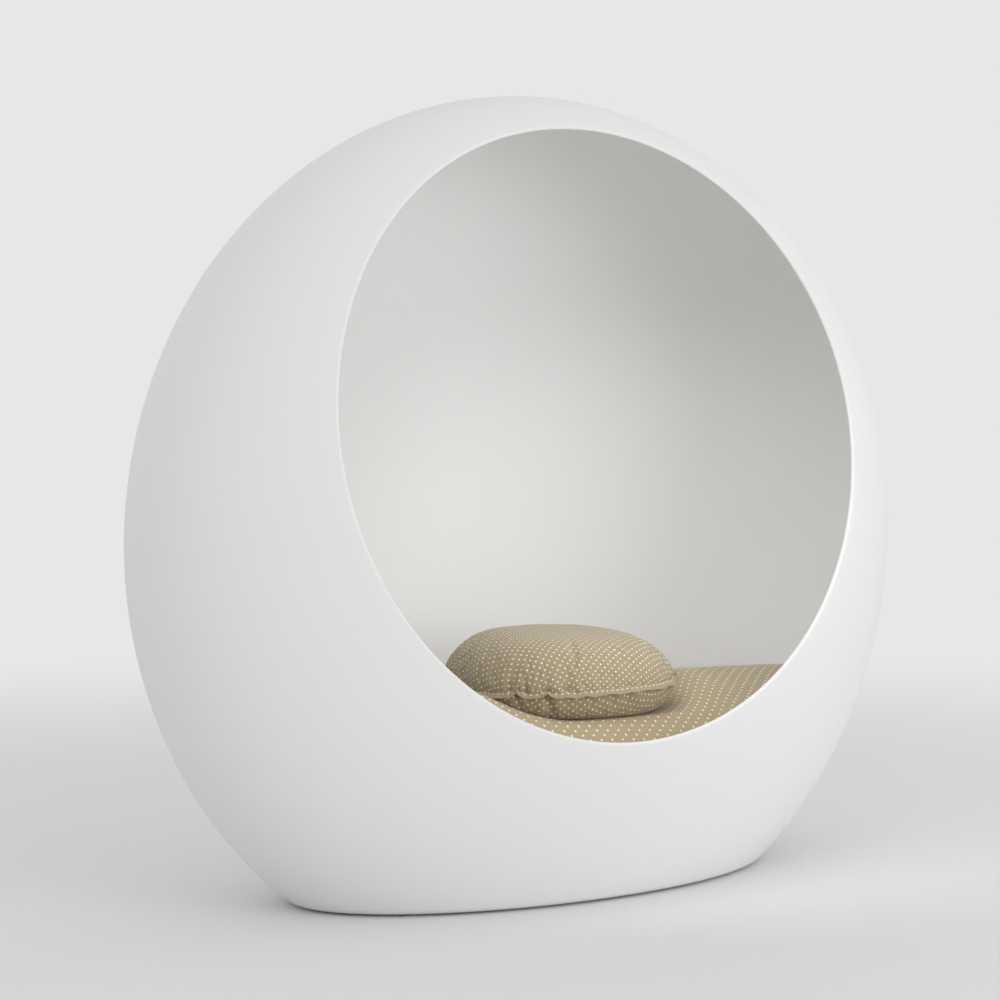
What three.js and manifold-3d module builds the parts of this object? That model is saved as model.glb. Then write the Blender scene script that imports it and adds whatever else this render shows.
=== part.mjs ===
// Pod chair: a moulded two-skin shell with a round opening, a plywood seat deck on ribs inside it,
// a loose fitted mattress and a scatter pillow.
// Millimetres, +Z up. The opening faces -Y, and the origin is on the floor under the middle.
import * as THREE from "three";
import { mergeVertices } from "three/addons/utils/BufferGeometryUtils.js";
import Module from "manifold-3d";

const wasm = await Module();
wasm.setup();

// Shell: an upright ellipsoid that is cut flat over the floor, with a small bend at the cut
const shellHalfWidth = 783;
const shellHalfDepth = 379;
const shellHalfHeight = 800;
const widestHeight = 630;
const openingRadius = 532;
const crownWidth = 71;
const skinThickness = 4;
const linerThickness = 4;
const rimDepth = 5;
const edgeRounding = 10;
const flangeWidth = 60;

// Base, ribs and seat deck
const glideRadius = 20;
const glideHeight = 4;
const boardThickness = 18;
const ribThickness = 18;
const ribInset = 95;
const deckHeight = 224;
const deckThickness = 15;
const ventRadius = 22;
const ventOffsetY = 90;

// Wood screws
const screwHeadRadius = 4.6;
const screwHeadHeight = 2.4;
const screwShankRadius = 2.2;
const glideScrewLength = 28;
const deckScrewLength = 40;

// Mattress
const mattressCrownHeight = 346;
const frontDrop = 92;
const edgeDrop = 26;
const coverThickness = 1.2;
const zipSweep = THREE.MathUtils.degToRad(60);

// Scatter pillow
const pillowHalfSize = 198;
const pillowOffsetX = 43;
const pillowOffsetY = -23;
const pillowTurn = THREE.MathUtils.degToRad(-4);
const pillowSeat = 315;
const pillowDepth = 47;
const pillowCrown = 89;
const pillowFlange = 11;
const panelThickness = 1.2;

// Clearances: a seat gap between touching pieces, and running room beside them
const seatGap = 0.3;
const woodClearance = 6;
const mattressClearance = 6;
const screwClearance = 0.3;
const cutOverrun = 5;

// Shapes stated as shares of the pieces that they belong to
const frontRollShare = 0.1;
const frontRollPower = 1.6;
const edgeRollShare = 0.85;
const edgeRollPower = 2;
const ribPlaceShares = [-1, -1 / 3, 1 / 3, 1];
const deckScrewShare = 0.62;
const dipFloorShare = 0.9;
const dipEdgeShare = 1.5;
const pillowCornerShare = 0.012;
const pillowFlatShare = 0.8;
const pillowSideTiltShare = 0.03;
const pillowBackTiltShare = 0.08;
const pillowSquareness = 2.36;
const pillowShoulderPower = 4.8;
const pillowCrownPower = 0.58;
const glideAngles = [40, 90, 140, 220, 270, 320].map(THREE.MathUtils.degToRad);

// Mesh counts
const shellSideCount = 44;
const footRowCount = 2;
const lowerRowCount = 6;
const crownRowCount = 9;
const rimSideCount = 48;
const rimStepCount = 5;
const ribRowCount = 4;
const plateSideCount = 36;
const roundSideCount = 8;
const mattressSideCount = 32;
const pillowSideCount = 28;

const openingHeight = widestHeight + shellHalfHeight - crownWidth - openingRadius;
const wallThickness = skinThickness + seatGap + linerThickness;
const baseHeight = glideHeight;
const edgeTop = baseHeight + edgeRounding;

const gelcoatWhite = new THREE.MeshStandardMaterial({ color: 0xf0f0ee, roughness: 0.25 });
const linerWhite = new THREE.MeshStandardMaterial({ color: 0xe6e6e3, roughness: 0.6 });
const plywood = new THREE.MeshStandardMaterial({ color: 0xc9a877, roughness: 0.7 });
const nylonBlack = new THREE.MeshStandardMaterial({ color: 0x1c1c1c, roughness: 0.5 });
const zincSteel = new THREE.MeshStandardMaterial({ color: 0xb8babc, roughness: 0.35, metalness: 1 });
const spottedFabric = new THREE.MeshStandardMaterial({ color: 0xb9ab88, roughness: 0.9 });
const paleFoam = new THREE.MeshStandardMaterial({ color: 0xe9e2c8, roughness: 1 });
const fibreWhite = new THREE.MeshStandardMaterial({ color: 0xf4f2ec, roughness: 1 });

// A closed geometry from points and triangles, with its faces turned outwards
function closedGeometry(points, triangles) {
  const volume = triangles.reduce((sum, [a, b, c]) => {
    return sum + points[a].dot(new THREE.Vector3().crossVectors(points[b], points[c]));
  }, 0);
  const corners = triangles.flatMap(([a, b, c]) => (volume < 0 ? [a, c, b] : [a, b, c]));
  const geometry = new THREE.BufferGeometry().setFromPoints(corners.map((i) => points[i]));
  const merged = mergeVertices(geometry);
  merged.computeVertexNormals();
  return merged;
}

function addQuad(triangles, a, b, c, d) {
  if (a !== b && b !== c && a !== c) triangles.push([a, b, c]);
  if (a !== c && c !== d && a !== d) triangles.push([a, c, d]);
}

// The directed edges that belong to one triangle only
function openEdges(triangles) {
  const edges = new Map();
  for (const [a, b, c] of triangles) {
    for (const [from, to] of [[a, b], [b, c], [c, a]]) {
      if (!edges.delete(`${to},${from}`)) edges.set(`${from},${to}`, [from, to]);
    }
  }
  return [...edges.values()];
}

function averageNormals(points, triangles) {
  const normals = points.map(() => new THREE.Vector3());
  for (const [a, b, c] of triangles) {
    const across = points[b].clone().sub(points[a]);
    const face = across.cross(points[c].clone().sub(points[a]));
    for (const corner of [a, b, c]) normals[corner].add(face);
  }
  return normals.map((normal) => normal.normalize());
}

// A sheet between two depths below a patch's surface
function thicken(patch, outerDepth, innerDepth) {
  const count = patch.points.length;
  const layer = (depth) =>
    patch.points.map((point, i) => point.clone().addScaledVector(patch.normals[i], -depth));
  const points = [...layer(outerDepth), ...layer(innerDepth)];
  const triangles = [];
  for (const [a, b, c] of patch.triangles) {
    triangles.push([a, b, c], [c + count, b + count, a + count]);
  }
  for (const [a, b] of openEdges(patch.triangles)) {
    triangles.push([b, a, a + count], [b, a + count, b + count]);
  }
  return closedGeometry(points, triangles);
}

function toManifold(geometry) {
  const bare = new THREE.BufferGeometry();
  bare.setAttribute("position", geometry.getAttribute("position"));
  if (geometry.index) bare.setIndex(geometry.index);
  const merged = mergeVertices(bare);
  const triVerts = new Uint32Array(merged.index.array);
  const vertProperties = new Float32Array(merged.attributes.position.array);
  return new wasm.Manifold(new wasm.Mesh({ numProp: 3, vertProperties, triVerts }));
}

function fromManifold(solid) {
  const { vertProperties, triVerts } = solid.getMesh();
  const geometry = new THREE.BufferGeometry();
  geometry.setAttribute("position", new THREE.BufferAttribute(vertProperties, 3));
  geometry.setIndex(new THREE.BufferAttribute(triVerts, 1));
  geometry.computeVertexNormals();
  return geometry;
}

function cut(geometry, tools) {
  const solid = tools.reduce((left, tool) => left.subtract(toManifold(tool)), toManifold(geometry));
  return fromManifold(solid);
}

function cylinder(radius, bottom, top, x, y) {
  const geometry = new THREE.CylinderGeometry(radius, radius, top - bottom, roundSideCount);
  return geometry.rotateX(Math.PI / 2).translate(x, y, (bottom + top) / 2);
}

// The shell's level sections are ellipses. This is the square of a section's size as a share of
// the widest one.
function levelShareSquared(z) {
  return Math.max(0, 1 - ((z - widestHeight) / shellHalfHeight) ** 2);
}

function shellDepthAt(x, z) {
  const remaining = levelShareSquared(z) - (x / shellHalfWidth) ** 2;
  return shellHalfDepth * Math.sqrt(Math.max(0, remaining));
}

function shellNormal({ x, y, z }) {
  const rise = (z - widestHeight) / shellHalfHeight ** 2;
  return new THREE.Vector3(x / shellHalfWidth ** 2, y / shellHalfDepth ** 2, rise).normalize();
}

function shellAxes(z) {
  const share = Math.sqrt(levelShareSquared(z));
  return new THREE.Vector3(shellHalfWidth * share, shellHalfDepth * share, z);
}

// The half width and half depth inside the liner at a height
function roomAxes(z, clearance) {
  const axes = shellAxes(z);
  const endNormal = shellNormal(new THREE.Vector3(axes.x, 0, z));
  const frontNormal = shellNormal(new THREE.Vector3(0, axes.y, z));
  const width = axes.x - (wallThickness + clearance) / endNormal.x;
  const depth = axes.y - (wallThickness + clearance) / frontNormal.y;
  return new THREE.Vector2(width, depth);
}

// The rounded foot of the shell: where its flat underside starts, its corner and its top
const footCorner = shellAxes(baseHeight);
const footTop = shellAxes(edgeTop);
const footFlat = new THREE.Vector3(footCorner.x - edgeRounding, footCorner.y - edgeRounding, baseHeight);
const flangeEdge = new THREE.Vector3(footFlat.x - flangeWidth, footFlat.y - flangeWidth, baseHeight);

// A point of a level section and its outward normal, from the way that the section's half width,
// half depth and height change along the profile
function footSample(axes, slope, turn) {
  const point = new THREE.Vector3(axes.x * Math.cos(turn), axes.y * Math.sin(turn), axes.z);
  const fall = slope.x * axes.y * Math.cos(turn) ** 2 + slope.y * axes.x * Math.sin(turn) ** 2;
  const normal = new THREE.Vector3(
    slope.z * axes.y * Math.cos(turn),
    slope.z * axes.x * Math.sin(turn),
    -fall,
  );
  return { point, normal: normal.normalize() };
}

// The profile from the turned-in flange, round the foot, up the side and over the crown
function shellProfile() {
  const inward = footFlat.clone().sub(flangeEdge);
  const profile = [(turn) => footSample(flangeEdge, inward, turn)];
  for (let row = 0; row < footRowCount; row++) {
    const lower = footFlat.clone().lerp(footCorner, row / footRowCount);
    const upper = footCorner.clone().lerp(footTop, row / footRowCount);
    const axes = lower.clone().lerp(upper, row / footRowCount);
    const slope = upper.clone().sub(lower);
    profile.push((turn) => footSample(axes, slope, turn));
  }
  const heights = [];
  const lowest = Math.asin((edgeTop - widestHeight) / shellHalfHeight);
  for (let row = 0; row < lowerRowCount; row++) {
    const latitude = lowest * (1 - row / lowerRowCount);
    heights.push(widestHeight + shellHalfHeight * Math.sin(latitude));
  }
  for (let row = 0; row <= crownRowCount; row++) {
    const latitude = ((Math.PI / 2) * row) / crownRowCount;
    heights.push(widestHeight + shellHalfHeight * Math.sin(latitude));
  }
  for (const height of heights) {
    const axes = shellAxes(height);
    profile.push((turn) => {
      const point = new THREE.Vector3(axes.x * Math.cos(turn), axes.y * Math.sin(turn), height);
      return { point, normal: shellNormal(point) };
    });
  }
  return profile;
}

// Half of the shell's surface, in front of or behind its widest section
function halfShell(side) {
  const samples = [];
  const rows = shellProfile().map((sampleAt) => {
    const row = [];
    for (let i = 0; i <= shellSideCount / 2; i++) {
      const sample = sampleAt((2 * Math.PI * i) / shellSideCount);
      sample.point.y *= side;
      sample.normal.y *= side;
      row.push(samples.length);
      samples.push(sample);
    }
    return row;
  });
  rows.at(-1).fill(rows.at(-1)[0]);
  const triangles = [];
  for (let row = 0; row + 1 < rows.length; row++) {
    for (let i = 0; i < shellSideCount / 2; i++) {
      const [low, high] = [rows[row], rows[row + 1]];
      addQuad(triangles, low[i], low[i + 1], high[i + 1], high[i]);
    }
  }
  const points = samples.map(({ point }) => point);
  const normals = samples.map(({ normal }) => normal);
  return { points, normals, triangles };
}

// A ring of points that lie at one radius from the opening's axis, at a depth below the surface
function openingRing(radius, depth) {
  const ring = [];
  for (let side = 0; side < rimSideCount; side++) {
    const angle = (2 * Math.PI * side) / rimSideCount;
    const x = radius * Math.cos(angle);
    const z = openingHeight + radius * Math.sin(angle);
    const outer = new THREE.Vector3(x, -shellDepthAt(x, z), z);
    ring.push(outer.clone().addScaledVector(shellNormal(outer), -depth));
  }
  return ring;
}

function joinRings(rings, closed) {
  const triangles = [];
  for (let ring = 0; ring < rings.length - (closed ? 0 : 1); ring++) {
    const after = (ring + 1) % rings.length;
    for (let side = 0; side < rimSideCount; side++) {
      const next = (side + 1) % rimSideCount;
      const here = [ring * rimSideCount + side, ring * rimSideCount + next];
      const there = [after * rimSideCount + side, after * rimSideCount + next];
      addQuad(triangles, here[0], here[1], there[1], there[0]);
    }
  }
  return triangles;
}

// A rounded rim that closes both skins round the opening
function rimGeometry() {
  const rings = [];
  for (let step = 0; step <= rimStepCount; step++) {
    const turn = (Math.PI * step) / rimStepCount;
    const radius = openingRadius + rimDepth * (1 - Math.sin(turn));
    rings.push(openingRing(radius, (wallThickness * (1 - Math.cos(turn))) / 2));
  }
  return closedGeometry(rings.flat(), joinRings(rings, true));
}

// The plug that the opening is cut with, square to the shell and a seat gap outside the rim
function openingPlug() {
  const radius = openingRadius + rimDepth + seatGap;
  const outerRing = openingRing(radius, -cutOverrun);
  const innerRing = openingRing(radius, wallThickness + cutOverrun);
  const frontRing = outerRing.map(({ x, z }) => new THREE.Vector3(x, -shellHalfDepth - cutOverrun, z));
  const rings = [frontRing, outerRing, innerRing];
  const triangles = joinRings(rings, false);
  const points = rings.flat();
  for (const capRing of [frontRing, innerRing]) {
    const ring = rings.indexOf(capRing);
    const centre = new THREE.Vector3();
    for (const point of capRing) centre.addScaledVector(point, 1 / rimSideCount);
    const middle = points.length;
    points.push(centre);
    for (let side = 0; side < rimSideCount; side++) {
      const edge = [ring * rimSideCount + side, ring * rimSideCount + ((side + 1) % rimSideCount)];
      triangles.push(capRing === innerRing ? [...edge, middle] : [...edge.reverse(), middle]);
    }
  }
  return closedGeometry(points, triangles);
}

// Glides and their screws stand on the middle of the flange
const glidePlaces = glideAngles.map((angle) => {
  const x = (footFlat.x - flangeWidth / 2) * Math.cos(angle);
  const y = (footFlat.y - flangeWidth / 2) * Math.sin(angle);
  return { x, y };
});

// A countersunk screw that points up from its head, or the hole that takes it
function screwGeometry(length, clearance) {
  const head = screwHeadRadius + clearance;
  const shank = screwShankRadius + clearance;
  const outline = [
    new THREE.Vector2(0, -clearance),
    new THREE.Vector2(head, -clearance),
    new THREE.Vector2(shank, screwHeadHeight),
    new THREE.Vector2(shank, length + clearance),
    new THREE.Vector2(0, length + clearance),
  ];
  return new THREE.LatheGeometry(outline, roundSideCount).rotateX(Math.PI / 2);
}

const glideScrewHead = (glideHeight - screwHeadHeight) / 2;

function glideHoles() {
  return glidePlaces.map(({ x, y }) => {
    const top = glideScrewHead + glideScrewLength + screwClearance;
    return cylinder(screwShankRadius + screwClearance, -cutOverrun, top, x, y);
  });
}

function glideGeometry() {
  const disc = cylinder(glideRadius, 0, glideHeight - seatGap, 0, 0);
  const hole = cylinder(screwShankRadius + screwClearance, -cutOverrun, glideHeight + cutOverrun, 0, 0);
  const recess = cylinder(screwHeadRadius + screwClearance, -cutOverrun, glideScrewHead, 0, 0);
  const sink = screwGeometry(glideScrewLength, screwClearance).translate(0, 0, glideScrewHead);
  return cut(disc, [hole, recess, sink]);
}

function ellipsePoints(width, depth, sides, x = 0, y = 0) {
  const points = [];
  for (let side = 0; side < sides; side++) {
    const angle = (2 * Math.PI * side) / sides;
    points.push(new THREE.Vector2(x + width * Math.cos(angle), y + depth * Math.sin(angle)));
  }
  return points;
}

function plateGeometry(shape, thickness, bottom) {
  const settings = { depth: thickness, bevelEnabled: false };
  return new THREE.ExtrudeGeometry(shape, settings).translate(0, 0, bottom);
}

// Base board, on the liner's flange
const boardBottom = baseHeight + wallThickness + seatGap;
const boardTop = boardBottom + boardThickness;

function baseBoardGeometry() {
  const outline = ellipsePoints(footFlat.x - woodClearance, footFlat.y - woodClearance, plateSideCount);
  return cut(plateGeometry(new THREE.Shape(outline), boardThickness, boardBottom), glideHoles());
}

// Ribs from the base board up to the deck
const deckBottom = deckHeight - deckThickness;
const ribBottom = boardTop + seatGap;
const ribTop = deckBottom - seatGap;
const ribPlaces = ribPlaceShares.map((share) => share * (footFlat.x - ribInset));
const ventPlaces = ribPlaces.slice(1).map((x, i) => (x + ribPlaces[i]) / 2);

function ribHalfDepth(x, z) {
  const outer = new THREE.Vector3(x, shellDepthAt(x, z), z);
  return outer.y - (wallThickness + woodClearance) / shellNormal(outer).y;
}

function deckScrewPlaces() {
  return ribPlaces.flatMap((x) => {
    const y = deckScrewShare * ribHalfDepth(x, ribTop);
    return [{ x, y: -y }, { x, y }];
  });
}

const deckScrewHead = deckHeight - seatGap;

function deckScrewHole({ x, y }) {
  const hole = screwGeometry(deckScrewLength, screwClearance);
  return hole.rotateX(Math.PI).translate(x, y, deckScrewHead);
}

function ribGeometry(x) {
  const reach = Math.abs(x) + ribThickness / 2;
  const right = [];
  for (let row = 0; row <= ribRowCount; row++) {
    const z = THREE.MathUtils.lerp(ribBottom, ribTop, row / ribRowCount);
    right.push(new THREE.Vector2(ribHalfDepth(reach, z), z));
  }
  const left = right.map(({ x: y, y: z }) => new THREE.Vector2(-y, z)).reverse();
  const settings = { depth: ribThickness, bevelEnabled: false };
  const plate = new THREE.ExtrudeGeometry(new THREE.Shape([...right, ...left]), settings);
  plate.rotateX(Math.PI / 2).rotateZ(Math.PI / 2).translate(x - ribThickness / 2, 0, 0);
  const holes = deckScrewPlaces().filter((place) => place.x === x);
  return cut(plate, holes.map(deckScrewHole));
}

function deckGeometry() {
  const room = roomAxes(deckBottom, woodClearance);
  const shape = new THREE.Shape(ellipsePoints(room.x, room.y, plateSideCount));
  for (const x of ventPlaces) {
    for (const y of [-ventOffsetY, ventOffsetY]) {
      shape.holes.push(new THREE.Path(ellipsePoints(ventRadius, ventRadius, roundSideCount, x, y)));
    }
  }
  const mouthRadius = screwHeadRadius + screwClearance;
  const mouths = deckScrewPlaces().map(({ x, y }) => {
    return cylinder(mouthRadius, deckScrewHead, deckHeight + cutOverrun, x, y);
  });
  const holes = deckScrewPlaces().map(deckScrewHole);
  return cut(plateGeometry(shape, deckThickness, deckBottom), [...mouths, ...holes]);
}

// A place over the pillow in the pillow's own directions, and how far out it is from 0 to 1
function pillowShare(x, y) {
  const place = new THREE.Vector2(x - pillowOffsetX, y - pillowOffsetY);
  place.rotateAround(new THREE.Vector2(), -pillowTurn).divideScalar(pillowHalfSize);
  const sum = Math.abs(place.x) ** pillowSquareness + Math.abs(place.y) ** pillowSquareness;
  return sum ** (1 / pillowSquareness);
}

// Mattress top: crowned, rolled down to the front lip, and pressed down under the pillow
const mattressBottom = deckHeight + seatGap;
const mattressRoom = roomAxes(mattressCrownHeight - edgeDrop, mattressClearance);

function roundOff(share) {
  return 1 - Math.sqrt(Math.max(0, 1 - share));
}

function mattressTop(x, y) {
  const place = new THREE.Vector2(x / mattressRoom.x, y / mattressRoom.y);
  const out = Math.min(1, place.length());
  const front = Math.max(0, -place.y / Math.max(out, frontRollShare));
  const roll = roundOff(Math.max(0, (out - frontRollShare) / (1 - frontRollShare)) ** frontRollPower);
  const edge = roundOff(Math.max(0, (out - edgeRollShare) / (1 - edgeRollShare)) ** edgeRollPower);
  const free = mattressCrownHeight - frontDrop * front * roll - edgeDrop * (1 - front) * edge;
  const press = 1 - THREE.MathUtils.smoothstep(pillowShare(x, y), dipFloorShare, dipEdgeShare);
  return THREE.MathUtils.lerp(free, pillowSeat, press);
}

// The mattress's surface: rings over its underside, up its drawn-in side and over its top
const bottomRingShares = [0, 0.5, 0.975];
const zipRowShares = [0.42, 0.54];
const sideRingShares = [
  { heightShare: 0.1, widthShare: 1 },
  { heightShare: zipRowShares[0], widthShare: 0.992 },
  { heightShare: zipRowShares[1], widthShare: 0.992 },
  { heightShare: 0.85, widthShare: 1 },
];
const rimRingShare = 0.985;
const dipRingShares = [1.25, 1.12, 1.02, 0.94, 0.5, 0];
const rimWayShares = [1, 0.86, 0.62, 0.32];
const topRings = [
  ...rimWayShares.map((rimShare) => ({ rimShare, dipShare: dipRingShares[0] })),
  ...dipRingShares.map((dipShare) => ({ rimShare: 0, dipShare })),
];

function mattressRingPoint(ring, angle) {
  const reach = new THREE.Vector2(Math.cos(angle), Math.sin(angle));
  const low = roomAxes(mattressBottom, mattressClearance);
  if (ring.bottomShare !== undefined) {
    const spread = reach.multiply(low).multiplyScalar(ring.bottomShare);
    return new THREE.Vector3(spread.x, spread.y, mattressBottom);
  }
  const rimHeight = mattressTop(reach.x * mattressRoom.x, reach.y * mattressRoom.y);
  if (ring.rimShare !== undefined) {
    const rim = reach.multiply(roomAxes(rimHeight, mattressClearance)).multiplyScalar(rimRingShare);
    const spread = pillowPlace(ring.dipShare, angle).lerp(rim, ring.rimShare);
    return new THREE.Vector3(spread.x, spread.y, mattressTop(spread.x, spread.y));
  }
  const z = THREE.MathUtils.lerp(mattressBottom, rimHeight, ring.heightShare);
  const spread = reach.multiply(roomAxes(z, mattressClearance)).multiplyScalar(ring.widthShare);
  return new THREE.Vector3(spread.x, spread.y, z);
}

const mattressRings = [
  ...bottomRingShares.map((bottomShare) => ({ bottomShare })),
  ...sideRingShares,
  ...topRings,
];

// A round patch of rings from one centre to another, where keep says which squares it has
function ringPatch(rings, sides, pointAt, keep) {
  const points = [];
  const ids = rings.map((ring) => {
    const row = [];
    for (let side = 0; side < sides; side++) {
      const point = pointAt(ring, (2 * Math.PI * side) / sides);
      const atCentre = row.length && point.distanceTo(points[row[0]]) === 0;
      row.push(atCentre ? row[0] : points.length);
      if (!atCentre) points.push(point);
    }
    return row;
  });
  const triangles = [];
  for (let ring = 0; ring + 1 < rings.length; ring++) {
    for (let side = 0; side < sides; side++) {
      const next = (side + 1) % sides;
      if (!keep(ring, side)) continue;
      addQuad(triangles, ids[ring][side], ids[ring][next], ids[ring + 1][next], ids[ring + 1][side]);
    }
  }
  return { points, triangles };
}

const everywhere = () => true;
const zipRing = mattressRings.findIndex(({ heightShare }) => heightShare === zipRowShares[0]);
const firstZipSide = Math.round(((Math.PI - zipSweep) / 2) / ((2 * Math.PI) / mattressSideCount));
const lastZipSide = mattressSideCount / 2 - firstZipSide;

function besideZip(ring, side) {
  return ring !== zipRing || side < firstZipSide || side >= lastZipSide;
}

const mattressWhole = ringPatch(mattressRings, mattressSideCount, mattressRingPoint, everywhere);
const mattressNormals = averageNormals(mattressWhole.points, mattressWhole.triangles);

function mattressCoverGeometry() {
  const patch = ringPatch(mattressRings, mattressSideCount, mattressRingPoint, besideZip);
  return thicken({ ...patch, normals: mattressNormals }, 0, coverThickness);
}

function insetSolid({ points, triangles }, normals, depth) {
  return closedGeometry(
    points.map((point, i) => point.clone().addScaledVector(normals[i], -depth)),
    triangles,
  );
}

// The zip fills the slit at the back of the cover, a seat gap inside its edges
function mattressZipGeometry() {
  const points = [];
  const triangles = [];
  for (let side = firstZipSide; side <= lastZipSide; side++) {
    const angle = (2 * Math.PI * side) / mattressSideCount;
    const [low, high] = sideRingShares.slice(1, 3).map((ring) => mattressRingPoint(ring, angle));
    const inward = Math.sign(0.5 - (side - firstZipSide) / (lastZipSide - firstZipSide));
    const atEnd = side === firstZipSide || side === lastZipSide;
    const shift = new THREE.Vector3(atEnd ? -inward * seatGap : 0, 0, 0);
    points.push(low.add(shift).setZ(low.z + seatGap), high.add(shift).setZ(high.z - seatGap));
  }
  for (let i = 0; i + 3 < points.length; i += 2) addQuad(triangles, i, i + 2, i + 3, i + 1);
  return thicken({ points, triangles, normals: averageNormals(points, triangles) }, 0, coverThickness);
}

// Pillow: two crowned panels sewn together, whose edges stand out as a flat flange
const flangeShare = 1 + pillowFlange / pillowHalfSize;
const panelOutside = seatGap / 2 + panelThickness;
const pillowSeamHeight = pillowSeat + seatGap + pillowDepth + panelOutside;

// A place in the pillow's own directions, from its middle, where a share of 1 is its seam
function pillowPlan(share, angle) {
  const power = 2 / pillowSquareness;
  const drawnIn = 1 - (pillowCornerShare * (1 + Math.cos(4 * angle))) / 2;
  const reach = share * pillowHalfSize * drawnIn;
  const across = Math.sign(Math.cos(angle)) * Math.abs(Math.cos(angle)) ** power;
  const along = Math.sign(Math.sin(angle)) * Math.abs(Math.sin(angle)) ** power;
  return new THREE.Vector2(across, along).multiplyScalar(reach);
}

// The same place over the seat
function pillowPlace(share, angle) {
  const place = pillowPlan(share, angle).rotateAround(new THREE.Vector2(), pillowTurn);
  return place.add(new THREE.Vector2(pillowOffsetX, pillowOffsetY));
}

function pillowPoint({ share, top, level }, angle) {
  const plan = pillowPlan(share, angle);
  const bulge = Math.max(0, 1 - share ** pillowShoulderPower) ** pillowCrownPower;
  const rise = pillowBackTiltShare * plan.y - pillowSideTiltShare * plan.x;
  const flat = Math.max(0, (share - pillowFlatShare) / (1 - pillowFlatShare));
  const sag = Math.sqrt(Math.max(0, 1 - flat ** 2));
  const above = panelOutside + pillowCrown * bulge * (1 + rise / pillowHalfSize);
  const below = -panelOutside - pillowDepth * sag;
  const place = pillowPlace(share, angle);
  return new THREE.Vector3(place.x, place.y, pillowSeamHeight + (level ? 0 : top ? above : below));
}

const topPanelShares = [flangeShare, 1, 0.985, 0.95, 0.89, 0.8, 0.65, 0.45, 0.22, 0];
const bottomPanelShares = [0, 0.4, 0.7, 0.86, 0.93, 0.975, 1, flangeShare];
const fillingBottomShares = [0, 0.4, 0.7, 0.86, 0.93];
const fillingEdgeShare = 0.97;
const fillingTopShares = [0.95, 0.89, 0.8, 0.65, 0.45, 0.22, 0];

function panelGeometry(shares, top) {
  const rings = shares.map((share) => ({ share, top }));
  const patch = ringPatch(rings, pillowSideCount, pillowPoint, everywhere);
  const normals = averageNormals(patch.points, patch.triangles);
  return thicken({ ...patch, normals }, 0, panelThickness);
}

function fillingGeometry() {
  const rings = [
    ...fillingBottomShares.map((share) => ({ share, top: false })),
    { share: fillingEdgeShare, level: true },
    ...fillingTopShares.map((share) => ({ share, top: true })),
  ];
  const patch = ringPatch(rings, pillowSideCount, pillowPoint, everywhere);
  const normals = averageNormals(patch.points, patch.triangles);
  return insetSolid(patch, normals, panelThickness + seatGap);
}

const model = new THREE.Group();

function addMesh(name, geometry, material, x = 0, y = 0, z = 0) {
  const mesh = new THREE.Mesh(geometry, material);
  mesh.name = name;
  mesh.position.set(x, y, z);
  model.add(mesh);
}

// Both halves of the shell, each with its liner, a seat gap apart at the widest section
for (const [half, side, tools] of [
  ["front", -1, [openingPlug(), ...glideHoles()]],
  ["rear", 1, glideHoles()],
]) {
  const surface = halfShell(side);
  const skin = cut(thicken(surface, 0, skinThickness), tools);
  const liner = cut(thicken(surface, skinThickness + seatGap, wallThickness), tools);
  addMesh(`outer_shell_${half}`, skin, gelcoatWhite, 0, (side * seatGap) / 2);
  addMesh(`inner_liner_${half}`, liner, linerWhite, 0, (side * seatGap) / 2);
}
addMesh("opening_rim", rimGeometry(), gelcoatWhite, 0, -seatGap / 2);

addMesh("base_board", baseBoardGeometry(), plywood);
const ribNames = ["rib_left_outer", "rib_left_inner", "rib_right_inner", "rib_right_outer"];
ribPlaces.forEach((x, i) => addMesh(ribNames[i], ribGeometry(x), plywood));
addMesh("seat_deck", deckGeometry(), plywood);

const deckScrew = screwGeometry(deckScrewLength, 0).rotateX(Math.PI);
deckScrewPlaces().forEach(({ x, y }, i) => {
  addMesh(`deck_screw_${i + 1}`, deckScrew, zincSteel, x, y, deckScrewHead);
});

const glide = glideGeometry();
const glideScrew = screwGeometry(glideScrewLength, 0);
glidePlaces.forEach(({ x, y }, i) => {
  addMesh(`glide_${i + 1}`, glide, nylonBlack, x, y);
  addMesh(`glide_screw_${i + 1}`, glideScrew, zincSteel, x, y, glideScrewHead);
});

addMesh("mattress_cover", mattressCoverGeometry(), spottedFabric);
const coreDepth = coverThickness + seatGap;
addMesh("mattress_core", insetSolid(mattressWhole, mattressNormals, coreDepth), paleFoam);
addMesh("mattress_zip", mattressZipGeometry(), nylonBlack);
addMesh("pillow_cover_top", panelGeometry(topPanelShares, true), spottedFabric);
addMesh("pillow_cover_bottom", panelGeometry(bottomPanelShares, false), spottedFabric);
addMesh("pillow_filling", fillingGeometry(), fibreWhite);

// The opening takes more off the front than the back has, so the whole moves forwards until its
// box stands evenly over the origin
model.position.y = -new THREE.Box3().setFromObject(model).getCenter(new THREE.Vector3()).y;

export default model;
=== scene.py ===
import math

import bmesh
import bpy
import numpy as np
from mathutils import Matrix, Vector, noise
from mathutils.kdtree import KDTree


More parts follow.
